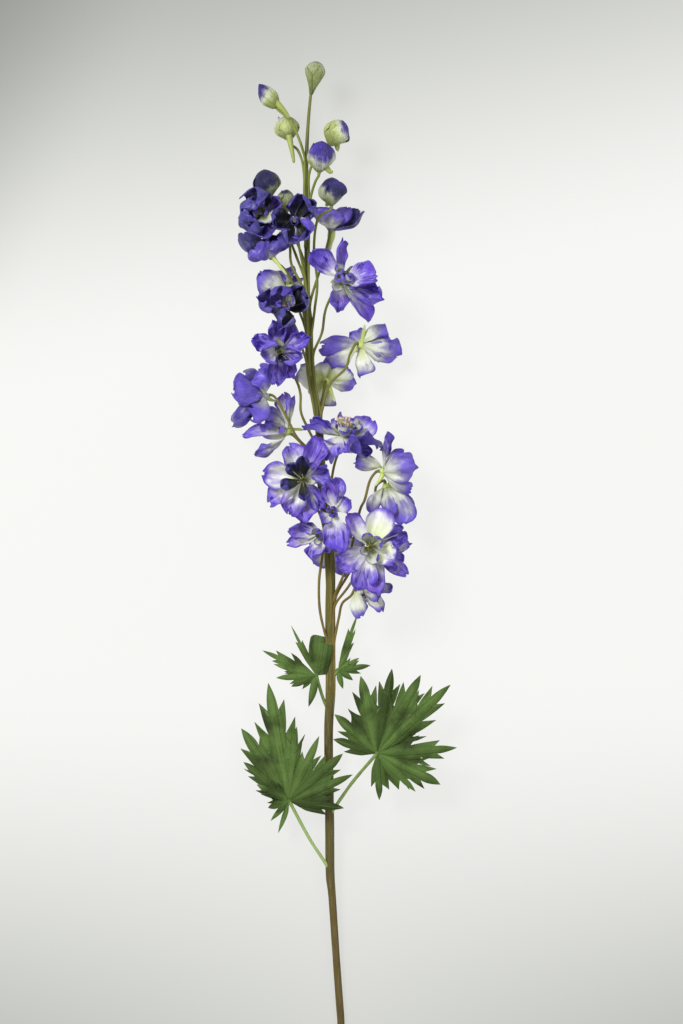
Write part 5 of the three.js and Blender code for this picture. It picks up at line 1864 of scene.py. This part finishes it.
@dataclass
class Leaf:
    """One leaf: fans of toothed lobes that arch out from the end of its stalk.

    Args:
        name: the leaf's name.
        plan: its measures.
        keeps: the values that its finish reads.
        thickness: how thick its blade is.
        slant: how far ahead of its root on the rib a side vein ends, against how far out.
        tooth_depth: how deep the cuts between teeth are, as a share of the half width.
        tooth_length: how far a tooth's tip is ahead of the cut behind it, as a share of the lobe's length.
        arch: how far a lobe arches up, as a share of its length.
        fold: how steeply a lobe's halves slope down from its rib.
        tilt: how far a lobe may lean to one side.
        lap: how far a lobe's left edge stands over the next lobe, and its right edge under.
        spacing: how close the margin's points are.
        veins: the places from rib to margin.
        web_reach: how far out two lobes of a whole web part, as a share of their length.
        knob: the radius of the knob at its foot.
        knob_ends: how far the knob goes below and above the foot.
        knob_rings: how many rings of points it has.
    """

    name: str
    plan: LeafPlan
    keeps: tuple[str, ...] = ("rib", "outward", "front", "dim")
    thickness: float = 0.4
    slant: float = 1.25
    tooth_depth: float = 0.6
    tooth_length: float = 0.12
    arch: float = 0.12
    fold: float = 0.44
    tilt: float = 0.5
    lap: float = 1.0
    spacing: float = 1.1
    veins: Numbers = (0.0, 0.1, 0.26, 0.44, 0.62, 0.8, 0.92, 1.0)
    web_reach: float = 0.66
    knob: float = 1.9
    knob_ends: Pair = (1.2, 1.5)
    knob_rings: int = 9

    def margin(self, lobe: LobePlan, shoulder: Pair) -> Array:
        """One half of a lobe's margin.

        Args:
            lobe: the lobe.
            shoulder: where its own margin starts, along the rib and out from it.

        Returns:
            Rows of how far along and how far out, from the foot to the tip.
        """
        length, half = lobe.length, lobe.width / 2
        stops: list[Pair] = [(0.0, 0.0), shoulder]
        bends: list[Pair] = [(shoulder[0] * 0.5, shoulder[1] * 0.5)]
        if lobe.blunt:
            stops += [(0.94 * length, 0.92 * half), (length, 0.0)]
            bends += [(0.35 * length, 1.05 * half), (1.03 * length, 0.8 * half)]
        else:
            teeth, start = max(lobe.teeth, 1 if lobe.width > 11 else 0), max(shoulder[0] / length, 0.22)
            for k in range(teeth):
                along = start + (k + 1) * (0.93 - start) / (teeth + 0.55)
                reach = half * 1.22 * min(1.0, (1.02 - along) / (0.86 - start)) ** 0.75
                before = stops[-1]
                tip = (along * length, max(reach, before[1] + 0.4 if k == 0 else 0.0))
                behind = (along - self.tooth_length) * length
                stops += [tip, (max(before[0] + 0.3, behind), reach * (1 - self.tooth_depth))]
                bends += [(before[0] + 0.25 * (tip[0] - before[0]), before[1] + 0.72 * (tip[1] - before[1])),
                          ((along - 0.8 * self.tooth_length) * length, reach * 0.66)]
            before = stops[-1]
            stops.append((length, 0.0))
            bends.append((before[0] + 0.45 * (length - before[0]), before[1] * (1.3 if teeth else 1.4)))
        margin = []
        for one, bend, two in zip(stops, bends, stops[1:]):
            count = max(2, int(math.dist(one, two) / self.spacing))
            for t in np.arange(count) / count:
                margin.append(along_bezier(np.array(one), np.array(bend), np.array(two), t)[0])
        return np.array([*margin, stops[-1]])

    def half_lobe(self, lobe: LobePlan, shoulder: Pair, sign: int) -> tuple[Array, Faces]:
        """One flat half of a lobe, from its rib to its margin.

        Args:
            lobe: the lobe.
            shoulder: where its own margin starts, along the rib and out from it.
            sign: 1 for the half to the left of the rib, -1 for the other.

        Returns:
            Its points in the plane, and its faces, which look up.
        """
        margin = self.margin(lobe, shoulder)
        roots = np.clip(np.maximum.accumulate(margin[:, 0] - self.slant * margin[:, 1]), 0, lobe.length)
        ahead, left = lobe.ways()
        shares = np.array(self.veins)
        along = roots[:, None] * (1 - shares) + margin[:, :1] * shares
        out = margin[:, 1:] * shares - 0.25 * (1 - shares) * np.minimum(1, margin[:, 1:])
        flat = along[..., None] * ahead + sign * out[..., None] * left
        faces = grid_faces(len(margin), len(shares))
        return flat.reshape(-1, 2), faces if sign < 0 else [tuple(reversed(face)) for face in faces]

    def heights(self, flat: Array, fan: FanPlan, seed: float) -> tuple[Array, ...]:
        """How high a fan stands over its foot, and where its points are on their lobes.

        Args:
            flat: its points in the plane.
            fan: the fan.
            seed: a number of its own.

        Returns:
            Heights, how far points are from the nearest rib and how far out along it, and how much painted
            shade darkens them.
        """
        near, total = np.full(len(flat), np.inf), np.zeros(len(flat))
        height, outward, dim = np.zeros(len(flat)), np.zeros(len(flat)), np.zeros(len(flat))
        chance = random.Random(f"{self.name} {seed}")
        for lobe in fan.lobes:
            length, (ahead, left) = lobe.length, lobe.ways()
            along, aside = flat @ ahead, flat @ left
            off = np.abs(aside)
            weight = np.exp(-((np.arctan2(off, np.maximum(along, 1e-3)) / 0.2) ** 2)) + 1e-6
            share = np.clip(along / length, 0, 1.05)
            rise = lobe.towards * share + 2 * self.arch * length * share * (1 - share)
            rise -= self.fold * np.minimum(off, 0.5 * lobe.width) + 0.06 * length * ease(share, 0.7, 1.0)
            rise += aside * chance.uniform(-self.tilt, self.tilt) * ease(share, 0.15, 0.6)
            rise -= (0.4 * length * ease(share, 0.82, 1.0)) if lobe.blunt else 0.0
            height += weight * rise
            total += weight
            # Each lobe's painted shade, blended over the web.
            dim += weight * lobe.dim
            closer = (off < near) & (along > 0)
            near, outward = np.where(closer, off, near), np.where(closer, along, outward)
        ripple = [noise.noise(Vector((x * 0.09, y * 0.09, seed))) for x, y in flat]
        reach = np.linalg.norm(flat, axis=1)
        return height / total + np.array(ripple) * 2.6 * ease(reach, 5, 30), near, outward, dim / total

    def add_fan(self, gathering: Gathering, fan: FanPlan, seed: float) -> None:
        """Adds a fan of lobes that share a web.

        Args:
            gathering: the leaf's mesh.
            fan: the fan.
            seed: a number of its own.
        """
        turns = [math.atan2(lobe.up, lobe.right) for lobe in fan.lobes]
        for n, lobe in enumerate(fan.lobes):
            length = lobe.length
            for sign, other in ((-1, n - 1), (1, n + 1)):
                shoulder = (0.3 * length, 0.3 * lobe.width)
                if lobe.blunt:
                    shoulder = (0.06 * length, 0.4 * lobe.width)
                if 0 <= other < len(fan.lobes):
                    beside = fan.lobes[other]
                    between = abs((turns[other] - turns[n] + math.pi) % (2 * math.pi) - math.pi) / 2
                    reach = fan.web * self.web_reach * (length + beside.length) / 2
                    shoulder = (reach * math.cos(between), reach * math.sin(between) + 0.3)
                flat, faces = self.half_lobe(lobe, shoulder, sign)
                height, near, outward, dim = self.heights(flat, fan, seed)
                free = ease(np.linalg.norm(flat, axis=1), math.hypot(*shoulder), math.hypot(*shoulder) + 12)
                height = height + sign * self.lap * free * np.minimum(near / (0.5 * lobe.width), 1)
                sheet = np.column_stack([flat, height + 0.12 * (n % 2)]) + vec(self.plan.at)
                gathering.add_sheet(
                    sheet, faces, self.thickness,
                    rib=np.minimum(near, 99.0) / 10, outward=outward / 10, dim=dim,
                )

    def build(self, material: Material) -> None:
        """Makes the leaf.

        Args:
            material: its finish.
        """
        gathering = Gathering(self.keeps)
        for number, fan in enumerate(self.plan.fans):
            self.add_fan(gathering, fan, number * 7.3 + len(self.name))
        foot = vec(self.plan.at)
        below, above = self.knob_ends
        route = np.linspace(foot - TOWARDS * below, foot + TOWARDS * above, self.knob_rings)
        bulge = self.knob * np.sqrt(np.clip(1 - np.linspace(-0.98, 0.98, self.knob_rings) ** 2, 0.02, 1))
        points, shell, _ = tube_rings(route, bulge, 14)
        gathering.add(points, shell, rib=0.02, outward=1.0, front=1.0)
        name = self.name + "_blades"
        settle(gathering.as_mesh(name), name, material, self.name)


# Stem


@dataclass
class Stem:
    """The main stem and the stalks of the blooms, buds and leaves, each a tube along its route."""

    rest_height: float = 2.948
    cut_radius: float = 3.1
    stalk_radius: float = 1.05
    petiole_radius: float = 1.3
    flare: float = 0.75
    flare_length: float = 5.0
    strand_steps: Numbers = (70.0, 40.0, 16.0)
    slimmed: float = 0.2

    def jig(self, name: str, material: Material, sides: int) -> Jig:
        """The tree that gives routes their girth.

        Args:
            name: the tree's name.
            material: the finish.
            sides: how many sides a tube has.

        Returns:
            The tree.
        """
        jig = Jig(name, Sides=sides, Girth=1.0)
        line, sides_in, girth_in, _ = jig.entry.outputs
        routes = jig.out("GeometryNodeMeshToCurve", None, {0: line})
        ring = jig.out("GeometryNodeCurvePrimitiveCircle", None, {"Resolution": sides_in, "Radius": 1.0})
        girth = jig.out("ShaderNodeMath", {"operation": "MULTIPLY"}, {0: jig.named("girth"), 1: girth_in})
        tubes = jig.out(
            "GeometryNodeCurveToMesh", None,
            {"Curve": routes, "Profile Curve": ring, "Scale": girth, "Fill Caps": True},
        )
        return jig.close(tubes, material)

    def routes_mesh(self, name: str, routes: list[Array]) -> Mesh:
        """Routes as chains of edges that keep their girth.

        Args:
            name: the mesh's name.
            routes: rows of x, y, z and radius in millimetres.

        Returns:
            The mesh.
        """
        mesh = bpy.data.meshes.new(name)
        edges, start = [], 0
        for route in routes:
            edges += [(start + k, start + k + 1) for k in range(len(route) - 1)]
            start += len(route)
        rows = np.vstack(routes) * MM
        mesh.from_pydata(rows[:, :3].tolist(), edges, [])
        keep(mesh, "girth", rows[:, 3])
        return mesh

    def main_route(self) -> Array:
        """The main stem, which lies flat at its cut end and bends up.

        Returns:
            Rows of x, y, z and radius.
        """
        cut = [(0, y, self.rest_height, self.cut_radius) for y in (-12, -4, 4)]
        route = flowing(vec([*cut, *STEM]), 4.0)
        knuckles = 1 + 0.05 * np.array([noise.noise(Vector((0, y * 0.05, 3.0))) for y in route[:, 1]])
        route[:, 3] *= np.where(route[:, 1] > 15, knuckles, 1.0)
        route[:, 3] *= 1 - self.slimmed * ease(route[:, 1], 400, 520)
        lowest = np.minimum(route[:, 3] - FLOOR_CLEARANCE, route[:, 2])
        route[:, 3] = np.where(route[:, 1] < 40, lowest, route[:, 3])
        return route

    def strand(self, route: Rows) -> list[Array]:
        """The stretch in which a stalk runs along the stem before it leaves it.

        Args:
            route: the stalk's points from the stem outwards.

        Returns:
            The points of that stretch, up to where the stalk leaves the stem.
        """
        stem = vec(STEM)
        leaving, after = (vec(point) for point in route[:2])
        aside = square_to(after - leaving, UP)
        points = []
        for back, share in zip((*self.strand_steps, 0.0), (0.45, 0.85, 0.95, 1.0)):
            place = [float(np.interp(leaving[1] - back, stem[:, 1], stem[:, k])) for k in range(4)]
            points.append(np.array([place[0], leaving[1] - back, place[2]]) + aside * place[3] * share)
        return points

    def stalk_route(self, route: Rows, ends: list[Array], radius: float) -> Array:
        """A stalk from the stem to what it carries.

        Args:
            route: its points from the stem outwards.
            ends: its last two points, where it meets what it carries.
            radius: its radius.

        Returns:
            Rows of x, y, z and radius.
        """
        smooth = flowing(vec([*route, *ends]), 1.6)
        walked = np.concatenate([[0], np.cumsum(np.linalg.norm(np.diff(smooth, axis=0), axis=1))])
        girth = radius + self.flare * np.exp(-((walked / self.flare_length) ** 2))
        girth *= 1 + 0.1 * np.array([noise.noise(Vector(point * 0.13)) for point in smooth])
        girth += 0.35 * np.exp(-(((walked[-1] - walked) / 3.0) ** 2))
        return np.column_stack([smooth, girth])

    def bloom_routes(self) -> list[Array]:
        """The stalks of the blooms and the buds.

        Returns:
            Their routes.
        """
        carried = []
        for letter, route in BLOOM_STALKS.items():
            bloom = Bloom(letter, BLOOMS[letter])
            foot = bloom.middle - bloom.facing * (RECEPTACLE_BACK - 0.4)
            carried.append((route, [foot - bloom.facing * 3, foot]))
        for number, route in BUD_STALKS.items():
            bud = Bud(number, BUDS[number])
            carried.append((route, [bud.start - bud.axis * 3, bud.start + bud.axis * 0.4]))
        return [
            self.stalk_route((*self.strand(route), *route[1:]), ends, self.stalk_radius)
            for route, ends in carried
        ]

    def leaf_routes(self) -> list[Array]:
        """The stalks of the leaves.

        Returns:
            Their routes.
        """
        routes = []
        for name, route in LEAF_STALKS.items():
            foot = vec(LEAVES[name].at)
            ahead = unit(foot - vec(route[-1]))
            ends = [foot - ahead * 4, foot - ahead * 0.5]
            routes.append(self.stalk_route(route, ends, self.petiole_radius))
        return routes

    def build(self) -> None:
        """Makes the stem's three pieces."""
        for name, tints, routes, sides in (
            ("main_stem", StemTint.BARK, [self.main_route()], 28),
            ("flower_stalks", StemTint.STALK, self.bloom_routes(), 12),
            ("leaf_stalks", StemTint.PETIOLE, self.leaf_routes(), 12),
        ):
            material = StemFinish(name + "_paint", tints).dress()
            mesh = self.jig(name + "_tubes", material, sides).made_from(self.routes_mesh(name, routes), name)
            settle(mesh, name, material, "stem")


# Studio


@dataclass(frozen=True)
class Studio:
    """A pale paper floor under soft light, and the camera that looks straight down on the spike."""

    aim: Numbers = (0.0004, 0.4272)
    seen_length: float = 0.8192
    distance: float = 3.0
    subject_height: float = 0.04
    sensor: float = 36.0
    floor_size: float = 4.0

    def place_camera(self) -> None:
        """Sets the camera over the spike, with the spike's tip at the top."""
        lens = bpy.data.cameras.new("camera")
        lens.sensor_width = self.sensor
        lens.lens = self.sensor * self.distance / self.seen_length
        lens.clip_end = 50
        camera = in_scene("camera", lens)
        camera.location = (*self.aim, self.subject_height + self.distance)
        bpy.context.scene.camera = camera

    def lay_floor(self) -> None:
        """Lays the paper under the spike."""
        half = self.floor_size / 2
        mesh = bpy.data.meshes.new("paper")
        corners = [(-half, -half, 0), (half, -half, 0), (half, half, 0), (-half, half, 0)]
        mesh.from_pydata(corners, [], [(0, 1, 2, 3)])
        mesh.materials.append(FloorFinish().dress())
        in_scene("paper", mesh)

    def add_light(self, name: str, place: Numbers, size: float, power: float, target: Numbers) -> None:
        """Hangs one soft square light.

        Args:
            name: its name.
            place: where it hangs.
            size: how wide it is.
            power: its power in watts.
            target: what it points at.
        """
        light = bpy.data.lights.new(name, "AREA")
        light.size, light.energy = size, power
        lamp = in_scene(name, light)
        lamp.location = place
        lamp.rotation_euler = (Vector(target) - Vector(place)).to_track_quat("-Z", "Y").to_euler()

    def light(self) -> None:
        """Lights the scene from all round, and from above the far end."""
        world = bpy.data.worlds.new("soft_white")
        world.use_nodes = True
        world.node_tree.nodes["Background"].inputs[0].default_value = (1.0, 1.0, 0.99, 1.0)
        world.node_tree.nodes["Background"].inputs[1].default_value = 0.6
        bpy.context.scene.world = world
        bpy.context.scene.view_settings.view_transform = "Standard"
        middle = (*self.aim, 0.0)
        self.add_light("key", (-1.2, 1.5, 1.9), 0.8, 57, middle)
        self.add_light("fill", (1.4, -0.2, 1.9), 1.2, 14, middle)

    def build(self) -> None:
        """Sets up the floor, the lights and the camera."""
        self.place_camera()
        self.lay_floor()
        self.light()


def main() -> None:
    """Builds the studio and the whole spike."""
    logging.basicConfig(level=logging.INFO, format="%(name)s: %(message)s")
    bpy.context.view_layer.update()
    Studio().build()
    Stem().build()
    petal_finish, bud_finish, leaf_finish = PetalFinish().dress(), BudFinish().dress(), LeafFinish().dress()
    for letter, plan in BLOOMS.items():
        Bloom(letter, plan).build(petal_finish)
    StamenTufts().build()
    for number, bud_plan in BUDS.items():
        Bud(number, bud_plan).build(bud_finish)
    for name, leaf_plan in LEAVES.items():
        Leaf(name, leaf_plan).build(leaf_finish)


if __name__ == "__main__":
    main()
